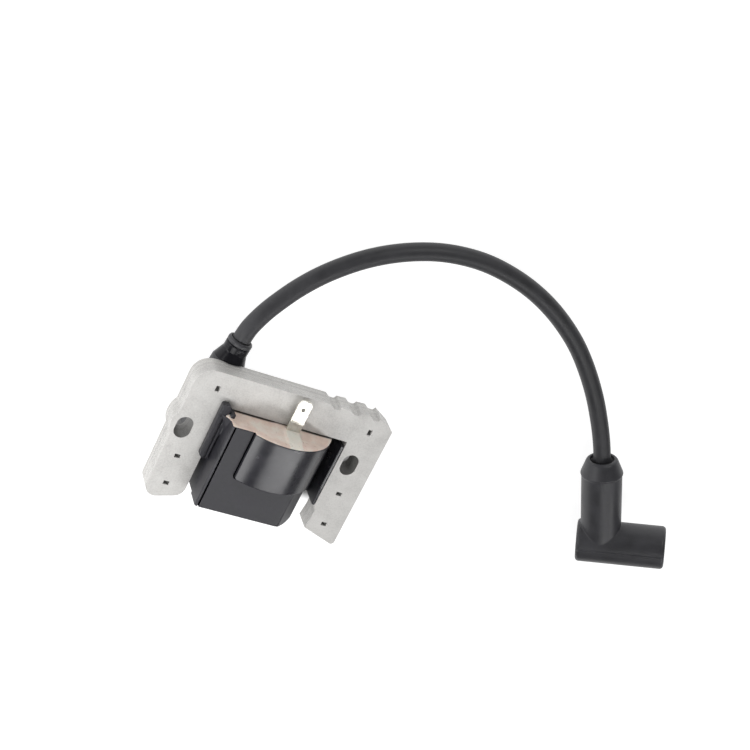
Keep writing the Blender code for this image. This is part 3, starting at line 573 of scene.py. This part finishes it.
def rounded(corners, steps=8):
    """A closed outline from (x, y, radius) corners, each rounded by an arc; radius 0 keeps the point."""
    points = []
    for i, (x, y, radius) in enumerate(corners):
        here = Vector((x, y))
        if radius == 0:
            points.append((x, y))
            continue
        back = (Vector(corners[i - 1][:2]) - here).normalized()
        ahead = (Vector(corners[(i + 1) % len(corners)][:2]) - here).normalized()
        half = back.angle(ahead) / 2
        centre = here + (back + ahead).normalized() * (radius / sin(half))
        first = here + back * (radius * cos(half) / sin(half)) - centre
        last = here + ahead * (radius * cos(half) / sin(half)) - centre
        turn = first.angle_signed(last)
        for k in range(steps + 1):
            spun = first.copy()
            spun.rotate(Matrix.Rotation(-turn * k / steps, 2))
            points.append(tuple(centre + spun))
    return points


def prism(name, outlines, low, high, plane="XY"):
    """Extrudes an outline with its holes square to a plane, from low to high."""
    place = {
        "XY": lambda u, v, w: Vector((u, v, w)),
        "XZ": lambda u, v, w: Vector((u, w, v)),
        "YZ": lambda u, v, w: Vector((w, u, v)),
    }[plane]
    bm = bmesh.new()
    edges = []
    for loop in outlines:
        verts = [bm.verts.new(place(u, v, low)) for u, v in loop]
        edges += [bm.edges.new((verts[i - 1], verts[i])) for i in range(len(verts))]
    bmesh.ops.triangle_fill(bm, use_beauty=True, edges=edges, normal=place(0, 0, 1))
    grown = bmesh.ops.extrude_face_region(bm, geom=bm.faces[:])
    risen = [item for item in grown["geom"] if isinstance(item, bmesh.types.BMVert)]
    bmesh.ops.translate(bm, verts=risen, vec=place(0, 0, high - low))
    return link(name, bm)


def box(name, low, high):
    outline = [(low[0], low[1]), (high[0], low[1]), (high[0], high[1]), (low[0], high[1])]
    return prism(name, [outline], low[2], high[2])


def turned(name, profile, steps=64):
    """Spins a closed (along, radius) profile round the X axis. A radius of 0 is a point on the axis."""
    bm = bmesh.new()
    rings = []
    for along, radius in profile:
        if radius == 0:
            rings.append([bm.verts.new((along, 0, 0))])
            continue
        turns = [2 * pi * k / steps for k in range(steps)]
        rings.append([bm.verts.new((along, radius * cos(a), radius * sin(a))) for a in turns])
    for i, ring in enumerate(rings):
        other = rings[i - 1]
        for k in range(steps):
            corners = [ring[k % len(ring)], ring[(k + 1) % len(ring)]]
            corners += [other[(k + 1) % len(other)], other[k % len(other)]]
            distinct = list(dict.fromkeys(corners))
            if len(distinct) > 2:
                bm.faces.new(distinct)
    return link(name, bm)


def apply_modifiers(obj):
    """Replaces an object's mesh by its evaluated one."""
    graph = bpy.context.evaluated_depsgraph_get()
    mesh = bpy.data.meshes.new_from_object(obj.evaluated_get(graph))
    obj.modifiers.clear()
    obj.data = mesh


def combine(obj, operation, tools):
    """Unites with tools or takes them away, and deletes them."""
    for tool in tools:
        modifier = obj.modifiers.new(tool.name, "BOOLEAN")
        modifier.operation = operation
        modifier.solver = "EXACT"
        modifier.object = tool
    apply_modifiers(obj)
    for tool in tools:
        bpy.data.objects.remove(tool)


def round_edges(obj, width, segments=2, angle=35):
    """Rounds every edge sharper than angle, and keeps the flat faces flat to the eye."""
    bevel = obj.modifiers.new("bevel", "BEVEL")
    bevel.width = width
    bevel.segments = segments
    bevel.limit_method = "ANGLE"
    bevel.angle_limit = radians(angle)
    bevel.use_clamp_overlap = True
    apply_modifiers(obj)
    smooth(obj)


def smooth(obj, angle=60):
    obj.data.shade_smooth()
    obj.data.set_sharp_from_angle(angle=radians(angle))
    weighted = obj.modifiers.new("weighted", "WEIGHTED_NORMAL")
    weighted.keep_sharp = True
    apply_modifiers(obj)


def mould(obj, voxel, passes, keep):
    """Remeshes a joined shape so that its edges and inner corners take a moulding's small radii."""
    remesh = obj.modifiers.new("remesh", "REMESH")
    remesh.mode = "VOXEL"
    remesh.voxel_size = voxel
    ease = obj.modifiers.new("ease", "SMOOTH")
    ease.factor = 0.5
    ease.iterations = passes
    thin = obj.modifiers.new("thin", "DECIMATE")
    thin.ratio = keep
    apply_modifiers(obj)
    obj.data.shade_smooth()


def place_piece(obj, material, body, replaces, shift=DATUM):
    """Moves a finished mesh from millimetres in its own datum into the shared frame, and hands it over."""
    obj.data.transform(Matrix.Scale(MM, 4) @ Matrix.Translation(shift) @ obj.matrix_basis)
    obj.matrix_basis = Matrix()
    obj.data.materials.clear()
    obj.data.materials.append(material)
    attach(obj, body)
    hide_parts(*replaces)


# ---------------------------------------------------------------- core

def pole_y(x):
    return CENTRE_POLE_Y - POLE_RADIUS + sqrt(POLE_RADIUS ** 2 - x ** 2)


def notch_corners():
    """The saw-tooth notches in the yoke's top edge, from right to left."""
    corners = []
    floor = YOKE_TOP - NOTCH_DEPTH
    for i in range(NOTCHES):
        tip = LAST_NOTCH_TIP - i * NOTCH_PITCH
        corners += [
            (tip, YOKE_TOP - 0.2, 0),
            (tip - 0.7, floor + 0.2, 0),
            (tip - 1.4, floor, 0),
            (tip - 3.2, floor + 0.1, 0),
            (tip - NOTCH_LENGTH, YOKE_TOP, 0),
        ]
    return corners


def plate_outline():
    """The E plate, anticlockwise from the left pole's outer corner."""
    w, leg, mid = CORE_HALF_WIDTH, LEG_INSIDE, CENTRE_LEG_HALF
    corners = [
        (-w, pole_y(w), POLE_ROUNDING),
        (-leg, pole_y(leg), POLE_ROUNDING),
        (-leg, YOKE_BOTTOM, 0.6),
        (-mid, YOKE_BOTTOM, 0.6),
        (-mid, pole_y(mid), 0.5),
        (mid, pole_y(mid), 0.5),
        (mid, YOKE_BOTTOM, 0.6),
        (leg, YOKE_BOTTOM, 0.6),
        (leg, -19.5, 0.5),
        (leg + POLE_RELIEF, -22.0, 1),
        (leg + POLE_RELIEF, -25.5, 1),
        (leg + POLE_RELIEF / 2, pole_y(leg), 0),
        (w, pole_y(w), 1.5),
        (w, 24.8, 1),
        *notch_corners(),
        (-w, YOKE_TOP, 8),
    ]
    half = (EAR_HIGH - EAR_LOW) / 2
    radius = (half ** 2 + EAR_REACH ** 2) / (2 * EAR_REACH)
    reach = asin(half / radius)
    middle = (-w - EAR_REACH + radius, (EAR_LOW + EAR_HIGH) / 2)
    return rounded(corners) + arc(middle, radius, pi - reach, pi + reach, 16)


def slot_outline(centre):
    reach = (SLOT_LENGTH - SLOT_WIDTH) / 2
    x, y = centre
    top = arc((x, y + reach), SLOT_WIDTH / 2, 0, pi, 24)
    return top + arc((x, y - reach), SLOT_WIDTH / 2, pi, 2 * pi, 24)


def stake_cutter(centre, turn):
    """A wedge that leaves one punched interlock: a steep end and a ramp, turned about Z."""
    length, width, depth = STAKE_LENGTH, STAKE_WIDTH, STAKE_DEPTH
    cutter = prism("stake", [[
        (-length / 2, 0.5), (-length / 2, -depth), (0, -depth), (length / 2, -0.05), (length / 2, 0.5),
    ]], -width / 2, width / 2, "XZ")
    cutter.data.transform(Matrix.Translation((*centre, CORE_FRONT)) @ Matrix.Rotation(turn, 4, "Z"))
    return cutter


def make_core(steel):
    outlines = [plate_outline()] + [slot_outline(c) for c in SLOT_CENTRES]
    for i in range(PLATES):
        low = CORE_BACK + i * PLATE_PITCH
        plate = prism(f"lamination_{i + 1:02d}", outlines, low, low + PLATE_THICKNESS)
        if i >= PLATES - STAKED_PLATES:
            stakes = [stake_cutter(c, 0) for c in LEG_STAKES]
            stakes += [stake_cutter(c, -pi / 2) for c in YOKE_STAKES]
            combine(plate, "DIFFERENCE", stakes)
        is_outer = i in (0, PLATES - 1)
        round_edges(plate, width=0.2 if is_outer else 0.11)
        place_piece(plate, steel, "coil", replaces=[f"core_plate_{i + 1:02d}"])


# ---------------------------------------------------------------- housing and resin

def case_outline(inset):
    left, right = HOUSING_LEFT + inset, HOUSING_RIGHT - inset
    front, back = HOUSING_FRONT - inset, inset
    corner = 2.0 - inset / 2
    return rounded([
        (left, back, corner),
        (right, back, corner),
        (right, front - FACET, corner),
        (right - FACET, front, corner),
        (left, front, corner / 2),
    ])


def bulge_outline(inset):
    """The round part over the coil in the XZ plane: an arc, cut off square on its left."""
    radius = BULGE_RADIUS - inset
    left, floor = BULGE_LEFT + inset, BULGE_FLOOR + inset
    start = asin((floor - BULGE_CENTRE[1]) / radius)
    end = acos((left - BULGE_CENTRE[0]) / radius)
    return arc(BULGE_CENTRE, radius, start, end, 64) + [(left, floor)]


def along_tower(distance):
    return TOWER_END - Vector((sin(TOWER_LEAN), cos(TOWER_LEAN), 0)) * distance


def place_on_tower(obj, distance):
    """Turns an object modelled along +X so that it points into the tower from this distance."""
    turn = Matrix.Rotation(-pi / 2 - TOWER_LEAN, 4, "Z")
    obj.data.transform(Matrix.Translation(along_tower(distance)) @ turn)
    return obj


def bulge_groove_outline():
    """An L in the XY plane: down the bulge's left side, round its corner and along its lower end."""
    left, low, end = BULGE_LEFT, BULGE_BOTTOM, BULGE_GROOVE_RIGHT
    return rounded([
        (left - GROOVE, MOUTH_Y + 1, 0), (left - GROOVE, low - GROOVE, 1.6), (end, low - GROOVE, 0),
        (end, low, 0), (left, low, 0.9), (left, MOUTH_Y + 1, 0),
    ])


def housing_additions():
    """What stands out from the case: the bulge, the flanges, the rib with its cap, and the lead's tower."""
    leg = LEG_INSIDE
    rib_low, rib_high = CORE_FRONT + 0.05, CORE_FRONT + RIB_HEIGHT
    neck = turned("neck", [
        (0, 0), (0, TOWER_RADIUS - 0.4), (0.4, TOWER_RADIUS), (3.4, TOWER_RADIUS),
        (9.0, TOWER_ROOT_RADIUS), (20, TOWER_ROOT_RADIUS), (20, 0),
    ])
    gusset = prism("gusset", [[
        (-25.6, 21.0), (-25.6, 28.4), (-26.3, 28.4), (-28.6, 26.2),
        (-29.6, 25.6), (-29.6, 22.6), (-28.5, 22.6), (-28.5, 21.0),
    ]], GUSSET_BOTTOM, MOUTH_Y - FIT / 2, "XZ")
    for vert in gusset.data.vertices:
        if vert.co.y < GUSSET_BOTTOM + FIT:
            vert.co.x = max(vert.co.x, HOUSING_LEFT + FIT)  # its lower end tapers into the wall
    return [
        prism("bulge", [bulge_outline(0)], BULGE_BOTTOM, MOUTH_Y + 1.5 * OVERSHOOT, "XZ"),
        gusset,
        box("right_web", (15, FLANGE_BOTTOM, ROOM_BACK - 2), (leg + 1.5, MOUTH_Y - FIT, ROOM_BACK)),
        box("right_wall", (leg - 1.5, FLANGE_BOTTOM + 0.1, ROOM_BACK - 1),
            (leg - FIT, MOUTH_Y - 2 * FIT, CORE_FRONT)),
        box("left_wall", (-leg + FIT, RIB_BOTTOM + 0.4, ROOM_BACK - 2),
            (HOUSING_LEFT + WALL / 2, MOUTH_Y - FIT, CORE_FRONT + 0.4 * RIB_HEIGHT)),
        prism("rib", [rounded([
            (RIB_LEFT, RIB_BOTTOM + 2.0, 1.0), (RIB_RIGHT, RIB_BOTTOM, 0.6),
            (RIB_RIGHT, RIB_TOP, 1.0), (RIB_LEFT, RIB_TOP, 1.0),
        ])], rib_low, rib_high),
        prism("strip", [[
            (-28.9, 11.9), (-28.7, RIB_BOTTOM + 1.0), (-27.2, RIB_BOTTOM + 0.9),
            (-27.0, 0.4), (-26.1, 7.6), (-26.1, 11.9),
        ]], rib_low + 0.1, rib_high - 0.1),
        prism("cap", [rounded([
            (RIB_LEFT + 0.2, 11.9, 0.3), (-28.1, 11.6, 0.3), (-26.8, 14.2, 0.4),
            (-26.9, 15.9, 0.8), (-28.3, RIB_TOP + 0.2, 0.8), (RIB_LEFT + 0.2, RIB_TOP - 0.1, 1.0),
        ])], rib_low, rib_high + 0.5),
        box("tower_root", (TOWER_ROOT_LEFT, TOWER_ROOT_BOTTOM, 0.4), (-22, TOWER_ROOT_TOP, ROOM_BACK)),
        place_on_tower(neck, SEAL_LENGTH + 0.05),
    ]


def housing_hollows():
    """What is cut from the case: its inside, room for the core, the lead's way in, and the grooves."""
    gap = CENTRE_LEG_HALF + FIT
    bore_radius = LEAD_DIAMETER / 2 + 0.1
    bore = turned("bore", [
        (-OVERSHOOT, 0), (-OVERSHOOT, bore_radius), (BORE_DEPTH, bore_radius), (BORE_DEPTH, 0),
    ])
    corner = (HOUSING_RIGHT - CORNER_RADIUS, HOUSING_BOTTOM + CORNER_RADIUS)
    rib_high = CORE_FRONT + RIB_HEIGHT
    return [
        prism("inside", [case_outline(WALL)], HOUSING_BOTTOM + WALL, MOUTH_Y + 3 * OVERSHOOT, "XZ"),
        prism("round_inside", [bulge_outline(WALL)], BULGE_BOTTOM + WALL, MOUTH_Y + 3.5 * OVERSHOOT, "XZ"),
        box("mouth", (-35, MOUTH_Y, rib_high + 2), (30, 30, 45)),
        box("mouth_behind", (-22, MOUTH_Y, -5), (30, 31, 45.5)),
        box("yoke_space", (-60, MOUTH_Y + 0.01, ROOM_BACK + 0.01),
            (-21, YOKE_TOP + FIT, CORE_FRONT + 0.02)),
        box("floor_cut", (-60, -50, -20), (40, 60, 0)),
        box("leg_slot", (-gap, HOUSING_BOTTOM - OVERSHOOT, ROOM_BACK),
            (gap, HOUSING_BOTTOM + 2 * WALL, CORE_FRONT + FIT)),
        place_on_tower(bore, 0),
        box("passage", (-34.5, 3.5, 3.2), (-20, 16, 8.8)),
        box("edge_groove", (EDGE_GROOVE_LEFT, HOUSING_BOTTOM - 1, HOUSING_FRONT - GROOVE_DEPTH),
            (EDGE_GROOVE_RIGHT, MOUTH_Y + 1, 40)),
        box("pole_relief", (-50, HOUSING_BOTTOM - 5, -6), (50, HOUSING_BOTTOM + 0.7, POLE_RELIEF_TOP)),
        prism("corner", [
            arc(corner, CORNER_RADIUS, 1.5 * pi, 2 * pi, 16)
            + [(HOUSING_RIGHT + 1, corner[1]), (HOUSING_RIGHT + 1, HOUSING_BOTTOM - 1),
               (corner[0], HOUSING_BOTTOM - 1)],
        ], -7, 46),
        prism("bulge_groove", [bulge_groove_outline()], HOUSING_FRONT - GROOVE_DEPTH, HOUSING_FRONT + 6),
        prism("rib_groove", [[
            (RIB_GROOVE_LEFT, 11.3), (RIB_GROOVE_RIGHT, 11.3),
            (RIB_GROOVE_RIGHT, RIB_BOTTOM - 1), (RIB_GROOVE_LEFT, RIB_BOTTOM - 1),
        ]], rib_high - 1.2, rib_high + 0.2),
    ]


def make_housing(plastic):
    case = prism("moulded_housing", [case_outline(0)], HOUSING_BOTTOM, MOUTH_Y + OVERSHOOT, "XZ")
    combine(case, "UNION", housing_additions())
    combine(case, "DIFFERENCE", housing_hollows())
    mould(case, voxel=0.2, passes=2, keep=0.2)
    place_piece(case, plastic, "coil", replaces=["coil_housing"])


def inside(point, loop):
    """Whether a point lies in a closed outline."""
    x, y = point
    hit = False
    for (ax, ay), (bx, by) in zip(loop, loop[1:] + loop[:1]):
        if (ay > y) != (by > y) and x < (bx - ax) * (y - ay) / (by - ay) + ax:
            hit = not hit
    return hit


def distance_to(point, loop):
    """The distance from a point to a closed outline."""
    p = Vector(point)
    best = 1e9
    for a, b in zip(loop, loop[1:] + loop[:1]):
        a, b = Vector(a), Vector(b)
        span = b - a
        t = max(0.0, min(1.0, (p - a).dot(span) / max(span.length_squared, 1e-9)))
        best = min(best, (a + span * t - p).length)
    return best


def resin_outline():
    """The edge of the resin, which covers the rim and runs out to a tip on the gusset at the left."""
    inset = 0.3
    left, right = HOUSING_LEFT + inset, HOUSING_RIGHT - inset
    front, floor = HOUSING_FRONT - inset, BULGE_FLOOR + inset
    crown = [(x, z, 0) for x, z in bulge_outline(inset)[:-1]]
    return rounded([
        (left, inset, 1.6), (right, inset, 1.6), (right, floor, 0.3), *crown,
        (BULGE_LEFT + inset, front, 0.5), (left, front, 0.7), (left, 29.0, 0.8), (-26.9, 27.4, 0.8),
        (-28.3, 25.9, 0.25), (left, 24.4, 0.6),
    ], 4)


def resin_height(point, loop, hole):
    """How far the resin stands over the rim."""
    x, z = point
    edge, leg = distance_to(point, loop), distance_to(point, hole)
    rolled_edge = 0.34 * (1 - exp(-edge / 0.2))
    sag = 0.22 * (1 - exp(-min(edge, leg) / 2.5))
    rise_by_leg = 0.3 * exp(-leg / 0.5)
    side = max(0.0, abs(x - BLADE_X) - BLADE_WIDTH / 2)
    end = max(0.0, z - FOOT_FRONT_Z, BLADE_BACK_Z - z)
    mound_on_foot = 0.86 * exp(-(hypot(side, end) / 0.7) ** 2)
    climb = max(0.0, min(1.0, (CREEP_FRONT - z) / (CREEP_FRONT - CORE_FRONT)))
    creep = CREEP * climb ** 2 * (3 - 2 * climb)
    return rolled_edge - sag + rise_by_leg + mound_on_foot + creep


def covers(point, loop, hole, margin=0.0):
    """Whether the resin lies over a point, at least a margin from its edges."""
    if not inside(point, loop) or inside(point, hole):
        return False
    return min(distance_to(point, loop), distance_to(point, hole)) > margin


def make_resin(resin):
    loop = resin_outline()
    gap, reach = CENTRE_LEG_HALF + 0.02, STACK / 2 + 0.02
    hole = rounded([
        (-gap, CORE_MIDDLE_Z - reach, 0.4), (gap, CORE_MIDDLE_Z - reach, 0.4),
        (gap, CORE_MIDDLE_Z + reach, 0.4), (-gap, CORE_MIDDLE_Z + reach, 0.4),
    ], 3)
    points = [Vector(p) for p in loop + hole]
    n, m = len(loop), len(hole)
    edges = [(i, (i + 1) % n) for i in range(n)] + [(n + i, n + (i + 1) % m) for i in range(m)]
    left, top = HOUSING_LEFT - 2, BULGE_CENTRE[1] + BULGE_RADIUS
    for i in range(int((BULGE_CENTRE[0] + BULGE_RADIUS - left) / RESIN_STEP)):
        for k in range(int(top / RESIN_STEP) + 1):
            point = (left + i * RESIN_STEP, k * RESIN_STEP)
            if covers(point, loop, hole, 0.12):
                points.append(Vector(point))
    verts, _, faces, *_ = geometry.delaunay_2d_cdt(points, edges, [], 0, 1e-5)
    bm = bmesh.new()
    made = [bm.verts.new((v.x, MOUTH_Y + resin_height(v, loop, hole), v.y)) for v in verts]
    for face in faces:
        middle = sum((verts[i] for i in face), Vector((0, 0))) / len(face)
        if covers(middle, loop, hole):
            bm.faces.new([made[i] for i in face])
    for vert in [v for v in bm.verts if not v.link_faces]:
        bm.verts.remove(vert)
    grown = bmesh.ops.extrude_face_region(bm, geom=bm.faces[:])
    for item in grown["geom"]:
        if isinstance(item, bmesh.types.BMVert):
            on_rim = distance_to((item.co.x, item.co.z), loop) < WALL - 0.3
            item.co.y = MOUTH_Y - (0.03 if on_rim else RESIN_DEPTH)
    cap = link("resin_fill", bm)
    smooth(cap)
    place_piece(cap, resin, "coil", replaces=["potting_epoxy"])


def make_seal(rubber):
    inner, outer = LEAD_DIAMETER / 2 - 0.02, TOWER_RADIUS
    seal = turned("outlet_seal", [
        (0.5, inner), (0, inner + 0.45), (0, outer - 0.8), (0.25, outer - 0.25), (0.8, outer),
        (SEAL_LENGTH - 0.2, outer), (SEAL_LENGTH, outer - 0.2), (SEAL_LENGTH, inner),
    ], 96)
    place_on_tower(seal, 0)
    smooth(seal)
    place_piece(seal, rubber, "coil", replaces=["lead_seal"])


# ---------------------------------------------------------------- kill terminal

def make_blade(tin):
    t, foot = BLADE_THICKNESS, MOUTH_Y + 0.1
    side = rounded([
        (BLADE_TIP_Y, BLADE_BACK_Z, 0.25),
        (BLADE_TIP_Y, BLADE_BACK_Z + t, 0.25),
        (foot + t, BLADE_BACK_Z + t, 0.3),
        (foot + t, FOOT_FRONT_Z, 0.7),
        (MOUTH_Y - 5, FOOT_FRONT_Z, 0),
        (MOUTH_Y - 5, FOOT_FRONT_Z - t, 0),
        (foot, FOOT_FRONT_Z - t, 0.2),
        (foot, BLADE_BACK_Z, 1.0),
    ])
    left, right = BLADE_X - BLADE_WIDTH / 2, BLADE_X + BLADE_WIDTH / 2
    blade = prism("stop_blade", [side], left, right, "YZ")
    tip = rounded([
        (left - 3, BLADE_TIP_Y + 2, 0), (left - 3, foot - 8, 0), (left, foot - 8, 0),
        (left, BLADE_TIP_Y, BLADE_SHOULDER), (right, BLADE_TIP_Y, BLADE_SHOULDER),
        (right, foot - 8, 0), (right + 3, foot - 8, 0), (right + 3, BLADE_TIP_Y + 2, 0),
    ])
    trim = prism("trim", [tip], BLADE_BACK_Z - 2, BLADE_BACK_Z + 3)
    hole = turned("hole", [(-2, 0), (-2, BLADE_HOLE_RADIUS), (2, BLADE_HOLE_RADIUS), (2, 0)], 40)
    centre = Matrix.Translation((BLADE_X, BLADE_HOLE_Y, BLADE_BACK_Z))
    hole.data.transform(centre @ Matrix.Rotation(pi / 2, 4, "Y"))
    combine(blade, "DIFFERENCE", [trim, hole])
    round_edges(blade, width=0.13)
    place_piece(blade, tin, "coil", replaces=["kill_terminal"])


# ---------------------------------------------------------------- lead and boot

def smooth_route(route, count):
    """Points on a Catmull-Rom curve through a route, in the route's own units."""
    points = [Vector(p) for p in route]
    points = [2 * points[0] - points[1]] + points + [2 * points[-1] - points[-2]]
    spans = len(points) - 3
    result = []
    for i in range(count):
        s = i * spans / (count - 1)
        k = min(int(s), spans - 1)
        t = s - k
        a, b, c, d = points[k:k + 4]
        result.append(0.5 * (2 * b + (c - a) * t + (2 * a - 5 * b + 4 * c - d) * t ** 2
                             + (3 * b - a - 3 * c + d) * t ** 3))
    return result


def make_lead(jacket):
    points = smooth_route(LEAD_ROUTE, LEAD_POINTS)
    curve = bpy.data.curves.new("spark_lead", "CURVE")
    curve.dimensions = "3D"
    curve.bevel_depth = LEAD_DIAMETER / 2 * MM
    curve.bevel_resolution = 10
    curve.use_fill_caps = True
    spline = curve.splines.new("POLY")
    spline.points.add(len(points) - 1)
    for point, place in zip(spline.points, points):
        point.co = (*(place * MM), 1)
    spline.use_smooth = True
    curve.materials.append(jacket)
    lead = bpy.data.objects.new("spark_lead", curve)
    bpy.context.collection.objects.link(lead)
    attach(lead, "coil")
    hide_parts("ht_lead")
    length = sum((b - a).length for a, b in zip(points, points[1:])) * MM
    return lead, length


def boot_matrix():
    turn = (Matrix.Rotation(BOOT_YAW, 4, "Z") @ Matrix.Rotation(-BOOT_PITCH, 4, "Y")
            @ Matrix.Rotation(BOOT_ROLL, 4, "X"))
    return Matrix.Translation(BOOT_ENTRY) @ turn


def on_socket(obj):
    """Stands a piece modelled along +X on the plug socket's axis, in the boot's frame."""
    obj.data.transform(Matrix.Translation((BOOT_LEG_LENGTH, 0, 0)) @ Matrix.Rotation(ELBOW_TURN, 4, "Z"))
    return obj


def make_boot(rubber):
    r, s = BOOT_LEG_RADIUS, BOOT_SOCKET_RADIUS
    length, end = BOOT_LEG_LENGTH, BOOT_SOCKET_LENGTH
    collar = BOOT_COLLAR_END
    boot = turned("elbow_boot", [
        (0, 0), (0, r - 3.0), (0.35, r - 2.45), (1.0, r - 2.0), (collar - 0.5, r + 0.35),
        (collar, r + 0.35), (collar + 0.5, r - 0.05), (length, r - 0.1), (length, 0),
    ], 96)
    rim = BOOT_RIM
    heel = [(-BOOT_HEEL, 0)] + [(-x, y) for x, y in arc((BOOT_HEEL - rim, s - rim), rim, 0, pi / 2, 8)]
    mouth = arc((end - rim, s - rim), rim, pi / 2, 0, 8) + [(end, 0)]
    ridge = box("ridge", (1 - BOOT_HEEL, -0.3, s - 1), (end - 1, 0.3, s + 0.3))
    combine(boot, "UNION", [on_socket(turned("socket", heel + mouth, 96)), on_socket(ridge)])
    grip = LEAD_DIAMETER / 2 + 0.02
    lead_hole = turned("lead_hole", [
        (-2, 0), (-2, 5.7), (1.0, 5.5), (2.4, grip + 0.23), (2.6, grip), (length, grip), (length, 0),
    ])
    plug_hole = on_socket(turned("plug_hole", [
        (-7, 0), (-7, BOOT_BORE_RADIUS), (end - 6, BOOT_BORE_RADIUS), (end - 5.4, BOOT_BORE_RADIUS + 0.4),
        (end - 4.8, BOOT_BORE_RADIUS), (end - 1.5, BOOT_BORE_RADIUS),
        (end + 2, BOOT_BORE_RADIUS + 2.5), (end + 2, 0),
    ]))
    combine(boot, "DIFFERENCE", [lead_hole, plug_hole])
    mould(boot, voxel=0.25, passes=4, keep=0.3)
    boot.data.transform(boot_matrix())
    place_piece(boot, rubber, "boot", shift=Vector(), replaces=["plug_boot"])
    return boot


def make_clip(brass):
    """The spring clip that grips the plug: a slit cup with a wire ring, on the lead's ferrule."""
    clip = turned("terminal_clip", [
        (-5.5, 0), (-5.5, 4.2), (-5.3, 4.4), (11.6, 4.4), (12.4, 4.85), (13.0, 4.85), (13.1, 4.7),
        (12.3, 4.25), (11.8, 3.7), (-1, 3.7), (-1, 0),
    ])
    slits = []
    for i in range(3):
        slit = box("slit", (1.5, -0.45, -6), (14, 0.45, 6))
        slit.data.transform(Matrix.Rotation(i * pi / 3, 4, "X"))
        slits.append(slit)
    combine(clip, "DIFFERENCE", slits)
    on_socket(clip)
    ring = turned("ring", [(9 + x, y) for x, y in arc((0, 4.55), 0.4, 0, 2 * pi, 16)[:-1]])
    ferrule = turned("ferrule", [
        (16, 0), (16, 2.2), (16.2, FERRULE_RADIUS), (22, FERRULE_RADIUS), (22.4, 2.1), (24, 2.1),
        (24.4, FERRULE_RADIUS), (BOOT_LEG_LENGTH - 3.8, FERRULE_RADIUS), (BOOT_LEG_LENGTH - 3.8, 0),
    ])
    combine(clip, "UNION", [on_socket(ring), ferrule])
    round_edges(clip, width=0.06, segments=1, angle=40)
    clip.data.transform(boot_matrix())
    place_piece(clip, brass, "boot", shift=Vector(), replaces=["plug_clip"])
    return clip


# ---------------------------------------------------------------- sealed pieces

def finish_inner_nodes(brass, tin):
    copper = inner_material("copper_wire", (0.36, 0.12, 0.05), (0.62, 0.26, 0.11), 0.35,
                            metallic=0.8, scale=2.0, stretch=(0.2, 6, 0.2))
    nylon = inner_material("bobbin_nylon", (0.52, 0.50, 0.44), (0.66, 0.64, 0.58), 0.5)
    board = inner_material("board_green", (0.02, 0.13, 0.06), (0.05, 0.24, 0.11), 0.42,
                           scale=0.8, stretch=(1, 3, 0.4))
    package = inner_material("moulded_package", (0.012, 0.012, 0.013), (0.03, 0.03, 0.032), 0.5,
                             scale=3.0)
    dipped = inner_material("dipped_coat", (0.38, 0.24, 0.12), (0.56, 0.40, 0.23), 0.45, scale=1.2)
    finishes = {
        "primary_bobbin": nylon, "secondary_bobbin": nylon, "primary_winding": copper,
        "circuit_board": board, "power_transistor": package, "zener_diode": package,
        "capacitor": dipped, "resistor_1": dipped, "resistor_2": dipped,
        "ground_tab": tin, "ht_terminal": brass,
    }
    finishes.update({name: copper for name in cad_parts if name.startswith("secondary_winding")})
    for name, material in finishes.items():
        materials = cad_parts[name].data.materials
        materials.clear()
        materials.append(material)


# ---------------------------------------------------------------- the whole coil

make_camera()
jacket = rubber_material("lead_jacket", (0.026, 0.026, 0.029), 0.50)
lead, lead_length = make_lead(jacket)
rubber = rubber_material("boot_rubber", (0.030, 0.030, 0.034), 0.44)
tin = tin_material()
brass = brass_material()
plastic = plastic_material()

make_core(steel_material())
make_housing(plastic)
make_resin(resin_material())
make_seal(rubber)
make_blade(tin)
boot = make_boot(rubber)
clip = make_clip(brass)
finish_inner_nodes(brass, tin)
make_stage()
